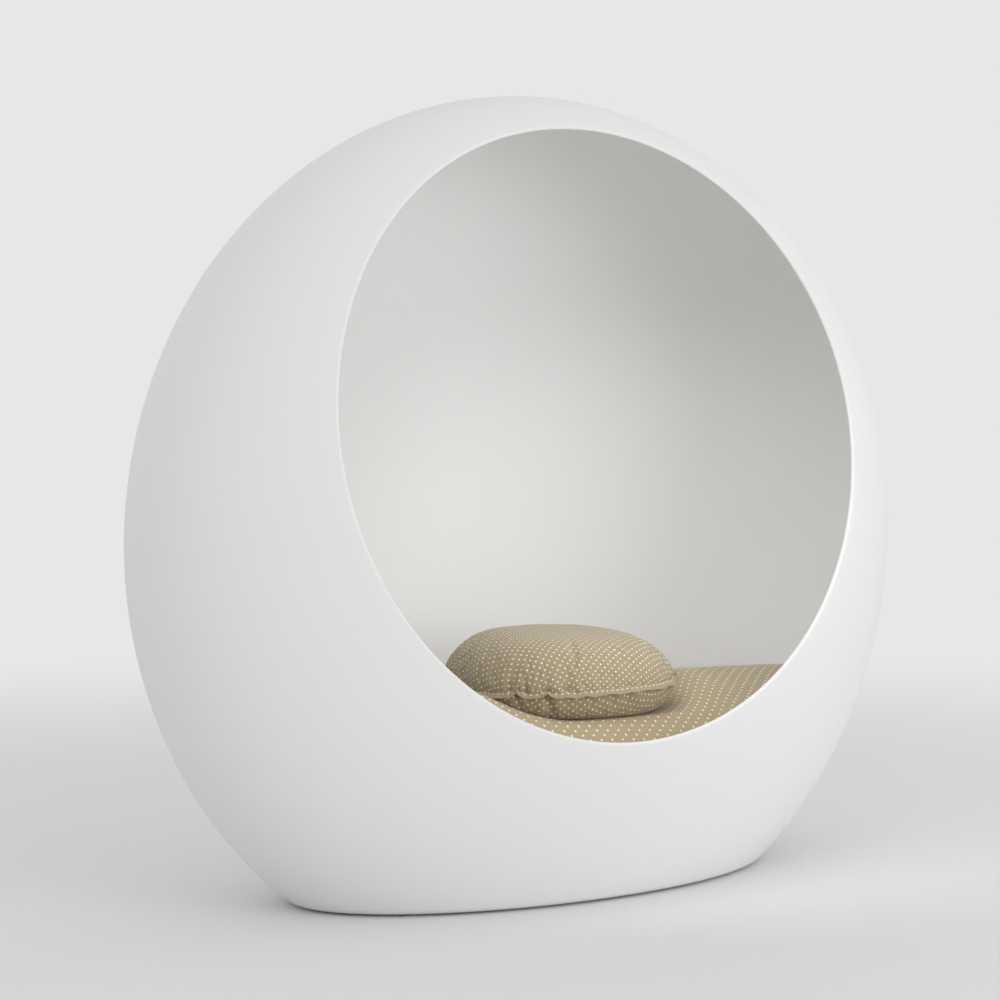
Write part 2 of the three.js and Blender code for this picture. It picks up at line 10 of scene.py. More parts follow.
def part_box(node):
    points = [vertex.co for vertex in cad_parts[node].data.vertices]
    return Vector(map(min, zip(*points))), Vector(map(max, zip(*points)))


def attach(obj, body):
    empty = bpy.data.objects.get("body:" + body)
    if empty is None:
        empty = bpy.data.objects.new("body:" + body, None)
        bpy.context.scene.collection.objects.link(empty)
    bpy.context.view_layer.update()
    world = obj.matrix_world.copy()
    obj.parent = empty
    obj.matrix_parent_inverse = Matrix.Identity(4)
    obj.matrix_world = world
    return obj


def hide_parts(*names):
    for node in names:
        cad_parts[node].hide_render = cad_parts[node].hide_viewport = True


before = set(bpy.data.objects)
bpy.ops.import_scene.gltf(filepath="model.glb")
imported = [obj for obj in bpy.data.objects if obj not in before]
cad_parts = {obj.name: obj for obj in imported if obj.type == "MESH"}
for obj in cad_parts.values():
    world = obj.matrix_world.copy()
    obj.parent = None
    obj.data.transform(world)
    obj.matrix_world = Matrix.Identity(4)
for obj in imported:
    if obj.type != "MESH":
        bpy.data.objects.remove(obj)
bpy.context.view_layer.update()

# The shell's driving sizes, as in the frame
SEAT_GAP = 0.0003
SHELL_HALF_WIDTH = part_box("outer_shell_rear")[1].x
MIDDLE_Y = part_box("outer_shell_rear")[0].y - SEAT_GAP / 2
SHELL_HALF_DEPTH = 0.379
SHELL_HALF_HEIGHT = 0.800
SHELL_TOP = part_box("outer_shell_rear")[1].z
WIDEST_HEIGHT = SHELL_TOP - SHELL_HALF_HEIGHT
OPENING_RADIUS = 0.532
CROWN_WIDTH = 0.071
OPENING_HEIGHT = SHELL_TOP - CROWN_WIDTH - OPENING_RADIUS
SKIN_THICKNESS = 0.004
LINER_THICKNESS = 0.004
WALL_THICKNESS = SKIN_THICKNESS + SEAT_GAP + LINER_THICKNESS
RIM_DEPTH = 0.005
EDGE_ROUNDING = 0.010
FLANGE_WIDTH = 0.060
BASE_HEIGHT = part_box("outer_shell_rear")[0].z
EDGE_TOP = BASE_HEIGHT + EDGE_ROUNDING

# The mattress's padding stands fuller than its plain solid, and rolls off to the front
MATTRESS_CROWN = 0.3735
FRONT_DROP = 0.142
FRONT_ROLL_START = 0.28
FRONT_ROLL_END = 0.98
FRONT_ROLL_POWER = 1.3
FRONT_TURN_SHARE = 0.1
BACK_FALL = 0.14
BACK_FALL_START = -0.05
BACK_FALL_REACH = 0.06
SIDE_FALL = 0.014

# The mattress's and the pillow's driving sizes, as in the frame
DECK_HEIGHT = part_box("seat_deck")[1].z
MATTRESS_CLEARANCE = 0.006
EDGE_DROP = 0.026
EDGE_ROLL_SHARE = 0.85
DIP_FLOOR_SHARE = 0.9
DIP_EDGE_SHARE = 1.5
WRAP_TURN = math.radians(212)
WRAP_INNER_REACH = math.radians(12)
WRAP_OUTER_REACH = math.radians(66)
WRAP_FLOOR_SHARE = 0.78
WRAP_EDGE_SHARE = 1.13
WRAP_GAP = 0.0004
PILLOW_HALF_SIZE = 0.198
PILLOW_PLACE = (0.043, MIDDLE_Y - 0.023)
PILLOW_TURN = math.radians(-4)
PILLOW_SEAT = 0.315
PILLOW_SEAM_HEIGHT = (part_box("pillow_cover_top")[0].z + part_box("pillow_cover_bottom")[1].z) / 2
PILLOW_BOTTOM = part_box("pillow_cover_bottom")[0].z
PILLOW_DEPTH = PILLOW_SEAM_HEIGHT - PILLOW_BOTTOM
PILLOW_CROWN = 0.0905
PILLOW_FLANGE = 0.011
PILLOW_SQUARENESS = 2.36
PILLOW_CORNER_SHARE = 0.012
PILLOW_FLAT_SHARE = 0.8
PILLOW_SIDE_TILT_SHARE = 0.03
PILLOW_BACK_TILT_SHARE = 0.08
PILLOW_SHOULDER_POWER = 4.8
PILLOW_CROWN_POWER = 0.58
PILLOW_STRETCH = 0.009
PILLOW_STRETCH_START = 0.04
PILLOW_STRETCH_END = 0.19

# The photographed view: where the camera stood, how it turned, and its focal length in pixels
VIEW_AZIMUTH = 0.56047
VIEW_DISTANCE = 3.9616
VIEW_HEIGHT = 0.8565
VIEW_YAW = -0.01581
VIEW_PITCH = -0.04015
VIEW_FOCAL_PIXELS = 2160.6
VIEW_PIXELS = 1000
SENSOR_WIDTH = 36.0


# Points nearer than a weld are one point of a mesh
WELD = 0.00002
FINE_WELD = 0.00001
LEAST_LENGTH = 1e-12


def add_object(name, data):
    made = bpy.data.objects.new(name, data)
    bpy.context.scene.collection.objects.link(made)
    return made


class Surface:
    """Grids of points, with a flat place for the cloth at each point, that weld into one mesh."""

    def __init__(self):
        self.points = []
        self.places = []
        self.faces = []

    def grid(self, points, places=None):
        rows, columns = points.shape[:2]
        first = len(self.points)
        self.points += [tuple(p) for p in points.reshape(-1, 3)]
        if places is None:
            places = np.zeros((rows, columns, 2))
        self.places += [tuple(p) for p in places.reshape(-1, 2)]
        at = first + np.arange(rows * columns).reshape(rows, columns)
        faces = np.stack([at[:-1, :-1], at[:-1, 1:], at[1:, 1:], at[1:, :-1]], axis=-1)
        self.faces += faces.reshape(-1, 4).tolist()

    def build(self, name, weld=WELD):
        mesh = bpy.data.meshes.new(name)
        mesh.from_pydata(self.points, [], self.faces)
        layer = mesh.uv_layers.new(name="cloth")
        corners = np.zeros(len(mesh.loops), np.int32)
        mesh.loops.foreach_get("vertex_index", corners)
        layer.data.foreach_set("uv", np.array(self.places, np.float32)[corners].ravel())
        work = bmesh.new()
        work.from_mesh(mesh)
        bmesh.ops.remove_doubles(work, verts=work.verts, dist=weld)
        bmesh.ops.recalc_face_normals(work, faces=work.faces)
        work.to_mesh(mesh)
        work.free()
        mesh.polygons.foreach_set("use_smooth", np.ones(len(mesh.polygons), bool))
        return add_object(name, mesh)


def unit(vectors):
    return vectors / np.maximum(np.linalg.norm(vectors, axis=-1, keepdims=True), LEAST_LENGTH)


def turned(x, y, turn):
    return x * math.cos(turn) - y * math.sin(turn), x * math.sin(turn) + y * math.cos(turn)


def short_way(gap, whole):
    """A gap on a ring, the short way round."""
    return np.mod(gap + whole / 2, whole) - whole / 2


def run_along(lengths):
    """How far each point of a line lies from its first point."""
    return np.concatenate([[0], np.cumsum(lengths)])


def smoothstep(value, low, high):
    share = np.clip((value - low) / (high - low), 0, 1)
    return share * share * (3 - 2 * share)


# The shell is an ellipsoid that is cut flat at its foot, so its level sections are ellipses
def level_share(z):
    return np.sqrt(np.maximum(0, 1 - ((z - WIDEST_HEIGHT) / SHELL_HALF_HEIGHT) ** 2))


def depth_at(x, z):
    left = level_share(z) ** 2 - (x / SHELL_HALF_WIDTH) ** 2
    return SHELL_HALF_DEPTH * np.sqrt(np.maximum(0, left))


def shell_normals(points):
    x, y, z = points[..., 0], points[..., 1], points[..., 2]
    rise = (z - WIDEST_HEIGHT) / SHELL_HALF_HEIGHT**2
    return unit(np.stack([x / SHELL_HALF_WIDTH**2, y / SHELL_HALF_DEPTH**2, rise], axis=-1))


def level_axes(z):
    share = level_share(z)
    return np.array([SHELL_HALF_WIDTH * share, SHELL_HALF_DEPTH * share, z])


FOOT_TOP = level_axes(EDGE_TOP)
FOOT_CORNER = level_axes(BASE_HEIGHT)
FOOT_FLAT = FOOT_CORNER - np.array([EDGE_ROUNDING, EDGE_ROUNDING, 0])
FLANGE_EDGE = FOOT_FLAT - np.array([FLANGE_WIDTH, FLANGE_WIDTH, 0])

# Mesh counts of the shell
OUTLINE_COLUMNS = 168
FOOT_COLUMNS = 48
FRONT_ROWS = 28
REAR_ROWS = 44
FOOT_ROWS = 7
LIP_ROWS = 12
RAY_STEPS = 240


def foot_turns():
    """Angles of the foot's columns in plan, from its left end round one side to its right end."""
    return np.linspace(math.pi, 0, FOOT_COLUMNS + 1)


def ray_angles():
    """Directions in front view from the opening's middle: over the top, then along the foot."""
    corner = math.atan2(EDGE_TOP - OPENING_HEIGHT, FOOT_TOP[0])
    over = np.linspace(corner, math.pi - corner, OUTLINE_COLUMNS + 1)
    foot_x = FOOT_TOP[0] * np.cos(foot_turns())
    under = np.arctan2(EDGE_TOP - OPENING_HEIGHT, foot_x) + math.tau
    return over, under[1:]


def on_shell(radius, angles):
    """Points of the shell's outside that the rays pass at a radius, at the back."""
    x = radius * np.cos(angles)
    z = OPENING_HEIGHT + radius * np.sin(angles)
    return np.stack([x, depth_at(x, z), z], axis=-1)


def outline_radius(angles):
    """How far each ray runs before it leaves the shell's outline."""
    cos, sin = np.cos(angles) / SHELL_HALF_WIDTH, np.sin(angles) / SHELL_HALF_HEIGHT
    lift = (OPENING_HEIGHT - WIDEST_HEIGHT) / SHELL_HALF_HEIGHT
    size, half = cos**2 + sin**2, lift * sin
    return (np.sqrt(half**2 + size * (1 - lift**2)) - half) / size


def half_shell(start_radius, rows):
    """Points of half the shell, at the back, as rows from a circle round the opening's axis out
    to the widest section and the foot. A row is a closed loop of columns."""
    over, under = ray_angles()
    angles = np.concatenate([over, under])
    reach = np.concatenate([outline_radius(over), (OPENING_HEIGHT - EDGE_TOP) / -np.sin(under)])
    reach[0] = reach[-1]
    turn = np.linspace(0, math.pi / 2, RAY_STEPS)
    radii = start_radius + (reach - start_radius) * np.sin(turn)[:, None]
    steps = np.linalg.norm(np.diff(on_shell(radii, angles), axis=0), axis=-1)
    lengths = np.vstack([np.zeros(len(angles)), np.cumsum(steps, axis=0)])
    shares = np.linspace(0, 1, rows + 1)
    even = [np.interp(shares * run[-1], run, radius) for run, radius in zip(lengths.T, radii.T)]
    points = on_shell(np.array(even).T, angles)
    points[-1, : OUTLINE_COLUMNS + 1, 1] = 0
    points[-1, -1, 1] = 0
    return points


def foot_profile():
    """Points and normals of half the foot, from its top edge round to the flange's inner edge."""
    rows = []
    cos, sin = np.cos(foot_turns()), np.sin(foot_turns())
    for step in range(FOOT_ROWS + 1):
        share = step / FOOT_ROWS
        upper = FOOT_TOP + (FOOT_CORNER - FOOT_TOP) * share
        lower = FOOT_CORNER + (FOOT_FLAT - FOOT_CORNER) * share
        rows.append((upper + (lower - upper) * share, upper - lower))
    rows.append((FLANGE_EDGE, FOOT_FLAT - FLANGE_EDGE))
    points, normals = [], []
    for axes, slope in rows:
        points.append(np.stack([axes[0] * cos, axes[1] * sin, axes[2] + 0 * cos], axis=-1))
        fall = slope[0] * axes[1] * cos**2 + slope[1] * axes[0] * sin**2
        normal = np.stack([slope[2] * axes[1] * cos, slope[2] * axes[0] * sin, -fall], axis=-1)
        normals.append(unit(normal))
    return np.array(points), np.array(normals)


def on_side(points, side):
    """Moves points of the back half to the side that they belong to, in the frame."""
    placed = points.copy()
    placed[..., 1] = MIDDLE_Y + side * placed[..., 1]
    return placed


def add_skin(surface, depth, opening_start):
    """One layer of the shell, at a depth below its outside, open at the opening and the foot."""
    for side, start, rows in ((-1, opening_start, FRONT_ROWS), (1, 0.0, REAR_ROWS)):
        points = half_shell(start, rows)
        surface.grid(on_side(points - depth * shell_normals(points), side))
        points, normals = foot_profile()
        surface.grid(on_side(points - depth * normals, side))


def opening_ring(radius, depth):
    points = on_shell(radius, np.concatenate(ray_angles()))
    return on_side(points - depth * shell_normals(points), -1)


def add_flange_edge(surface, outer_depth, inner_depth):
    for side in (-1, 1):
        points, normals = foot_profile()
        layers = [points[-1] - depth * normals[-1] for depth in (outer_depth, inner_depth)]
        surface.grid(on_side(np.array(layers), side))


def make_shell():
    """The outer skin and the rounded lip in one seamless form."""
    surface = Surface()
    start = OPENING_RADIUS + RIM_DEPTH
    add_skin(surface, 0, start)
    add_skin(surface, SKIN_THICKNESS, start)
    lip = []
    for step in range(LIP_ROWS + 1):
        turn = math.pi * step / LIP_ROWS
        radius = OPENING_RADIUS + RIM_DEPTH * (1 - math.sin(turn))
        lip.append(opening_ring(radius, WALL_THICKNESS * (1 - math.cos(turn)) / 2))
    lip.append(opening_ring(start, SKIN_THICKNESS))
    surface.grid(np.array(lip))
    add_flange_edge(surface, 0, SKIN_THICKNESS)
    piece = surface.build("pod_shell")
    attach(piece, "shell")
    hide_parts("outer_shell_front", "outer_shell_rear", "opening_rim")
    return piece


def make_lining():
    surface = Surface()
    start = OPENING_RADIUS + RIM_DEPTH + SEAT_GAP
    outer = SKIN_THICKNESS + SEAT_GAP
    add_skin(surface, outer, start)
    add_skin(surface, WALL_THICKNESS, start)
    surface.grid(np.array([opening_ring(start, outer), opening_ring(start, WALL_THICKNESS)]))
    add_flange_edge(surface, outer, WALL_THICKNESS)
    piece = surface.build("pod_lining")
    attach(piece, "shell")
    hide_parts("inner_liner_front", "inner_liner_rear")
    return piece


# The mattress
def room_axes(z, clearance):
    """Half width and half depth inside the lining at each height."""
    share = level_share(z)
    zero = np.zeros_like(z)
    ends = shell_normals(np.stack([SHELL_HALF_WIDTH * share, zero, z], axis=-1))
    fronts = shell_normals(np.stack([zero, SHELL_HALF_DEPTH * share, z], axis=-1))
    width = SHELL_HALF_WIDTH * share - (WALL_THICKNESS + clearance) / ends[..., 0]
    depth = SHELL_HALF_DEPTH * share - (WALL_THICKNESS + clearance) / fronts[..., 1]
    return width, depth


# The mattress's half width and half depth, taken at the height of the pillow's seam
MATTRESS_ROOM = room_axes(PILLOW_SEAM_HEIGHT, MATTRESS_CLEARANCE)
MATTRESS_BOTTOM = DECK_HEIGHT + SEAT_GAP


def left_stretch(across):
    """How far the pillow's left side is drawn out."""
    return PILLOW_STRETCH * smoothstep(-across, PILLOW_STRETCH_START, PILLOW_STRETCH_END)


def in_pillow(x, y):
    """A place of the frame in the pillow's own directions, from its middle."""
    across, along = turned(x - PILLOW_PLACE[0], y - PILLOW_PLACE[1], -PILLOW_TURN)
    return across + left_stretch(across), along


def pillow_reach(across, along):
    """How far out a place in the pillow's own directions lies, where 1 is its seam."""
    total = np.abs(across) ** PILLOW_SQUARENESS + np.abs(along) ** PILLOW_SQUARENESS
    return total ** (1 / PILLOW_SQUARENESS) / PILLOW_HALF_SIZE


def pillow_underside(share):
    """How far the pillow's lower panel lies under its seam."""
    flat = np.maximum(0, (share - PILLOW_FLAT_SHARE) / (1 - PILLOW_FLAT_SHARE))
    return PILLOW_DEPTH * np.sqrt(np.maximum(0, 1 - flat**2))


def wrap_share(x, y):
    """1 where the mattress hugs the pillow, at its front left, and 0 where it dips away from it."""
    turn = np.arctan2(y - PILLOW_PLACE[1], x - PILLOW_PLACE[0])
    gap = np.abs(short_way(turn - WRAP_TURN, math.tau))
    return 1 - smoothstep(gap, WRAP_INNER_REACH, WRAP_OUTER_REACH)


def mattress_top(x, y):
    """Height of the mattress's top. y is in the frame."""
    px, py = x / MATTRESS_ROOM[0], (y - MIDDLE_Y) / MATTRESS_ROOM[1]
    out = np.minimum(1, np.hypot(px, py))
    front = np.maximum(0, -py / np.maximum(out, FRONT_TURN_SHARE)) ** FRONT_ROLL_POWER
    edged = np.maximum(0, (out - EDGE_ROLL_SHARE) / (1 - EDGE_ROLL_SHARE)) ** 2
    behind = y - BACK_FALL_START
    free = MATTRESS_CROWN - BACK_FALL * (behind + np.hypot(behind, BACK_FALL_REACH)) / 2
    free = free - SIDE_FALL * px**4
    free = free - FRONT_DROP * front * smoothstep(out, FRONT_ROLL_START, FRONT_ROLL_END)
    free = free - EDGE_DROP * (1 - front) * (1 - np.sqrt(np.maximum(0, 1 - edged)))
    wrap, share = wrap_share(x, y), pillow_reach(*in_pillow(x, y))
    inner = DIP_FLOOR_SHARE + (WRAP_FLOOR_SHARE - DIP_FLOOR_SHARE) * wrap
    outer = DIP_EDGE_SHARE + (WRAP_EDGE_SHARE - DIP_EDGE_SHARE) * wrap
    press = 1 - smoothstep(share, inner, outer)
    height = free + np.minimum(0, PILLOW_SEAT - free) * press
    under = PILLOW_SEAM_HEIGHT - pillow_underside(share) - WRAP_GAP
    return np.where(share < 1, np.minimum(height, np.maximum(under, PILLOW_SEAT)), height)


MATTRESS_COLUMNS = 320
MATTRESS_TOP_ROWS = 130
MATTRESS_TOP_SHARE = 0.985
MATTRESS_SIDE_ROWS = 16
MATTRESS_SIDE_DRAW_SHARE = 0.008
MATTRESS_BOTTOM_ROWS = 7
CLOTH_STEPS = 60
SLOPE_STEP = 0.0001
STEEPEST_SLOPE = 2


def cloth_place(x, y):
    """Where a point of the mattress's top lies on its flat cloth, by lengths along the surface."""

    def stretch(ahead, behind):
        slope = (mattress_top(*ahead) - mattress_top(*behind)) / (2 * SLOPE_STEP)
        return np.hypot(1, np.clip(slope, -STEEPEST_SLOPE, STEEPEST_SLOPE))

    along = np.zeros_like(x)
    across = np.zeros_like(y)
    for share in (np.arange(CLOTH_STEPS) + 0.5) / CLOTH_STEPS:
        way_x, way_y = x * share, y * share
        along += x / CLOTH_STEPS * stretch((way_x + SLOPE_STEP, y), (way_x - SLOPE_STEP, y))
        across += y / CLOTH_STEPS * stretch((x, way_y + SLOPE_STEP), (x, way_y - SLOPE_STEP))
    return np.stack([along, across], axis=-1)


def make_mattress():
    surface = Surface()
    turns = np.linspace(0, math.tau, MATTRESS_COLUMNS + 1)
    cos, sin = np.cos(turns), np.sin(turns)
    rim = mattress_top(MATTRESS_ROOM[0] * cos, MIDDLE_Y + MATTRESS_ROOM[1] * sin)
    width, depth = room_axes(rim, MATTRESS_CLEARANCE)
    shares = np.sin(np.linspace(0, math.pi / 2, MATTRESS_TOP_ROWS + 1))[:, None] * MATTRESS_TOP_SHARE
    x = shares * width * cos
    y = MIDDLE_Y + shares * depth * sin
    top = np.stack([x, y, mattress_top(x, y)], axis=-1)
    surface.grid(top, cloth_place(x, y))
    share = np.linspace(1, 0, MATTRESS_SIDE_ROWS + 1)[:, None]
    z = MATTRESS_BOTTOM + (top[-1, :, 2] - MATTRESS_BOTTOM) * share
    width, depth = room_axes(z, MATTRESS_CLEARANCE)
    drawn = 1 - MATTRESS_SIDE_DRAW_SHARE * np.sin(math.pi * share)
    side = np.stack([width * cos * drawn, MIDDLE_Y + depth * sin * drawn, z], axis=-1)
    side[0] = top[-1]
    around = run_along(np.linalg.norm(np.diff(side[0], axis=0), axis=-1))
    surface.grid(side, np.stack([np.broadcast_to(around, z.shape), z], axis=-1))
    middle = np.array([0.0, MIDDLE_Y, MATTRESS_BOTTOM])
    inward = np.linspace(1, 0, MATTRESS_BOTTOM_ROWS + 1)[:, None, None]
    bottom = middle + (side[-1] - middle) * inward
    surface.grid(bottom, bottom[..., :2])
    piece = surface.build("mattress")
    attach(piece, "seat_mattress")
    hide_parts("mattress_cover", "mattress_core", "mattress_zip")
    return piece


# The scatter pillow: two panels, a drooping flange sewn round them, and tucked corners
CLOTH_COLUMNS = 216
CLOTH_TOP_ROWS = 30
CLOTH_BOTTOM_ROWS = 20
CLOTH_FINER = 3
TOP_LATTICE_TURN = math.radians(214)
BOTTOM_LATTICE_TURN = math.radians(197)


def signed_power(value, power):
    return np.sign(value) * np.abs(value) ** power


def pillow_drawn(turn):
    return 1 - PILLOW_CORNER_SHARE * (1 + np.cos(4 * turn)) / 2


def pillow_plan(share, turn):
    """A place in the pillow's own directions, from its middle, where a share of 1 is its seam."""
    power = 2 / PILLOW_SQUARENESS
    reach = share * PILLOW_HALF_SIZE * pillow_drawn(turn)
    return signed_power(np.cos(turn), power) * reach, signed_power(np.sin(turn), power) * reach


def plan_share(across, along):
    """The share of a place that is given in the pillow's own directions."""
    power = PILLOW_SQUARENESS / 2
    turn = np.arctan2(signed_power(along, power), signed_power(across, power))
    return pillow_reach(across, along) / pillow_drawn(turn)


def over_seat(across, along):
    x, y = turned(across - left_stretch(across), along, PILLOW_TURN)
    return PILLOW_PLACE[0] + x, PILLOW_PLACE[1] + y


def pillow_height(share, across, along, top):
    """Height of a panel over the seam."""
    if not top:
        return -pillow_underside(share)
    bulge = np.maximum(0, 1 - share**PILLOW_SHOULDER_POWER) ** PILLOW_CROWN_POWER
    rise = PILLOW_BACK_TILT_SHARE * along - PILLOW_SIDE_TILT_SHARE * across
    return PILLOW_CROWN * bulge * (1 + rise / PILLOW_HALF_SIZE)


def pillow_points(share, turn, top):
    across, along = pillow_plan(share, turn)
    x, y = over_seat(across, along)
    z = PILLOW_SEAM_HEIGHT + pillow_height(share, across, along, top)
    return np.stack([x, y, z + 0 * x], axis=-1)


def cloth_length(ahead, aside, turn, top):
    """Length along a panel, from its middle line out to a place, in one direction in plan."""
    steps = np.sin(np.linspace(0, math.pi / 2, CLOTH_STEPS))
    way = ahead[..., None] * steps
    across, along = turned(way, aside[..., None], turn)
    height = pillow_height(np.minimum(1, plan_share(across, along)), across, along, top)
    runs = np.hypot(np.diff(way, axis=-1), np.diff(height, axis=-1))
    return np.sign(ahead) * runs.sum(axis=-1)


def panel_places(share, turn, top):
    """Flat cloth places of a panel, measured along it in two directions square to each other."""
    lattice_turn = (TOP_LATTICE_TURN if top else BOTTOM_LATTICE_TURN) - PILLOW_TURN
    ahead, aside = turned(*pillow_plan(share, turn), -lattice_turn)
    first = cloth_length(ahead, aside, lattice_turn, top)
    second = cloth_length(aside, -ahead, lattice_turn + math.pi / 2, top)
    return np.stack([first, second], axis=-1)


# Lengths round the seam, for the puckers, the flange and the corners
SEAM_POINTS = 2001
SEAM_TURNS = np.linspace(0, math.tau, SEAM_POINTS)
SEAM_RUN = run_along(np.hypot(*[np.diff(v) for v in pillow_plan(1, SEAM_TURNS)]))
SEAM_LENGTH = SEAM_RUN[-1]


def seam_run(turn):
    """Length round the seam at a turn, in the pillow's own directions."""
    return np.interp(np.mod(turn, math.tau), SEAM_TURNS, SEAM_RUN)


# Each pucker: its turn round the pillow, how hard it pinches the seam, then the depth, the reach, the
# width and the lean of its fold over the seam, and of its fold under the seam
SEEN_PUCKERS = [
    (186, 0.30, (0.0030, 0.026, 0.0080, 0.10), (0.0020, 0.014, 0.0080, 0.0)),
    (198, 0.20, (0.0034, 0.020, 0.0070, 0.05), (0.0030, 0.016, 0.0080, 0.0)),
    (216, 0.25, (0.0072, 0.052, 0.0085, 0.16), (0.0016, 0.012, 0.0070, 0.0)),
    (221.5, 1.00, (0.0030, 0.012, 0.0060, 0.00), (0.0070, 0.018, 0.0065, 0.1)),
    (226, 0.05, (0.0044, 0.016, 0.0085, 0.00), (0.0010, 0.012, 0.0080, 0.0)),
    (238, 0.90, (0.0036, 0.013, 0.0065, 0.00), (0.0088, 0.034, 0.0080, 0.1)),
    (248, 0.15, (0.0062, 0.046, 0.0115, -0.12), (0.0010, 0.010, 0.0080, 0.0)),
    (257, 0.20, (0.0034, 0.011, 0.0060, 0.00), (0.0014, 0.014, 0.0080, 0.0)),
    (266, 0.10, (0.0016, 0.030, 0.0100, 0.20), (0.0020, 0.018, 0.0090, 0.0)),
    (276, 0.10, (0.0018, 0.012, 0.0070, 0.00), (0.0046, 0.030, 0.0120, 0.0)),
    (286, 0.12, (0.0022, 0.012, 0.0060, 0.00), (0.0020, 0.016, 0.0090, 0.0)),
    (306, 0.20, (0.0020, 0.024, 0.0090, 0.10), (0.0022, 0.016, 0.0090, 0.0)),
]


# The puckers out of sight, from one turn to another: least and most depth, reach and width of a fold
HIDDEN_TURNS = (320.0, 540)
HIDDEN_TURN_STEP = (8, 15)
HIDDEN_UPPER = ((0.002, 0.0065), (0.012, 0.048), (0.006, 0.011))
HIDDEN_UNDER = ((0.001, 0.006), (0.012, 0.030), (0.006, 0.010))
HIDDEN_LEAN = (-0.15, 0.15)
PUCKER_SEED = 7


def make_puckers():
    """The puckers with their places round the seam: those at the front, then the rest by chance."""
    draw = np.random.default_rng(PUCKER_SEED)
    made = list(SEEN_PUCKERS)
    turn, last_turn = HIDDEN_TURNS
    while turn < last_turn:
        upper = [draw.uniform(*ends) for ends in HIDDEN_UPPER]
        under = [draw.uniform(*ends) for ends in HIDDEN_UNDER]
        lean = draw.uniform(*HIDDEN_LEAN)
        made.append((turn, draw.uniform(0, 1) ** 2, (*upper, lean), (*under, lean)))
        turn += draw.uniform(*HIDDEN_TURN_STEP)
    return [(seam_run(math.radians(t)), *rest) for t, *rest in made]


# How a pinch draws the seam in and up, and how the whole seam leans
PUCKERS = make_puckers()
PINCH_WIDTH = 0.0085
PINCH_POWER = 1.3
PINCH_RISE = 0.0048
PINCH_DRAW = 0.0030
PINCH_REACH = 0.012
SEAM_RAISE = 0.0035
SEAM_LEAN = 0.0065
SEAM_LEAN_TURN = math.radians(252)
SEAM_RAISE_REACH = 0.030

# A fold starts at the seam, widens with the length from it, and has a low swell on both sides
FOLD_DEPTH_SHARE = 1.45
FOLD_START = 0.0025
FOLD_WIDTH_SHARE = 0.75
FOLD_WIDENING = 0.06
SWELL_SHARE = 0.40
SWELL_WIDTH_SHARE = 2.2


def seam_pinch(run):
    """1 where the seam is pinched hardest, and 0 between the pinches."""
    pinch = np.zeros_like(run)
    for place, power, _, _ in PUCKERS:
        gap = short_way(run - place, SEAM_LENGTH)
        pinch = np.maximum(pinch, power * np.exp(-((np.abs(gap) / PINCH_WIDTH) ** PINCH_POWER)))
    return pinch


def seam_shift(run, away):
    """How far the cloth is drawn in and drawn up at a length round the seam and a length from it."""
    pinch = seam_pinch(run) * np.exp(-away / PINCH_REACH)
    raised = SEAM_RAISE + SEAM_LEAN * np.sin(math.tau * run / SEAM_LENGTH - SEAM_LEAN_TURN)
    return PINCH_DRAW * pinch, PINCH_RISE * pinch + raised * np.exp(-away / SEAM_RAISE_REACH)


def pucker_depth(run, away, top):
    """How far the cloth is drawn in at a length round the seam and a length away from it."""
    depth = np.zeros_like(run)
    for place, _, upper, under in PUCKERS:
        most, reach, width, lean = upper if top else under
        spread = width * (FOLD_WIDTH_SHARE + away / FOLD_WIDENING)
        gap = short_way(run - place, SEAM_LENGTH) - lean * away
        swell = SWELL_SHARE * np.exp(-((gap / (SWELL_WIDTH_SHARE * spread)) ** 2))
        fold = np.exp(-((gap / spread) ** 2)) - swell
        depth += most * fold * np.exp(-((away / reach) ** 2))
    return FOLD_DEPTH_SHARE * depth * (1 - np.exp(-away / FOLD_START))


PROFILE_POINTS = 600
PROFILE_SHARES = 1 - (1 - np.linspace(0, 1, PROFILE_POINTS)) ** 2


def seam_distance(share, top):
    """Length along a panel from the seam, in the middle of one side."""
    across = PROFILE_SHARES * PILLOW_HALF_SIZE
    height = pillow_height(PROFILE_SHARES, across, 0 * across, top)
    run = run_along(np.hypot(np.diff(across), np.diff(height)))
    return run[-1] - np.interp(share, PROFILE_SHARES, run)


# The panels are blown up as cloth on a coarse grid, and the shape is drawn on a finer one
CLOTH_FRAMES = 20
CLOTH_SWELL = 0.035
CLOTH_CAP = 0.004
HELD_SEAM_SHARE = 0.9995
LEAST_HOLD = 0.01
CLOTH_SETTINGS = {
    "quality": 5,
    "mass": 0.25,
    "tension_stiffness": 12,
    "compression_stiffness": 12,
    "shear_stiffness": 4,
    "bending_stiffness": 0.12,
    "air_damping": 2,
    "shrink_min": -CLOTH_SWELL,
    "use_pressure": True,
    "uniform_pressure_force": 4,
}

# Heights over the pillow's bottom, up to which cloth rests, and from which it is free
REST_START = 0.001
REST_END = 0.012


def panel_grid(rows, columns):
    shares = np.sin(np.linspace(0, math.pi / 2, rows + 1))[:, None]
    return np.broadcast_arrays(shares, np.linspace(0, math.tau, columns + 1)[None])


def free_share(points):
    return smoothstep(points[..., 2] - PILLOW_BOTTOM, REST_START, REST_END)


def held_share(share, points):
    """Cloth is held at the seam and where it lies on the mattress."""
    return np.where(share > HELD_SEAM_SHARE, 1.0, 1 - free_share(points))


def vertex_points(mesh):
    data = np.zeros(len(mesh.vertices) * 3)
    mesh.vertices.foreach_get("co", data)
    return data.reshape(-1, 3)


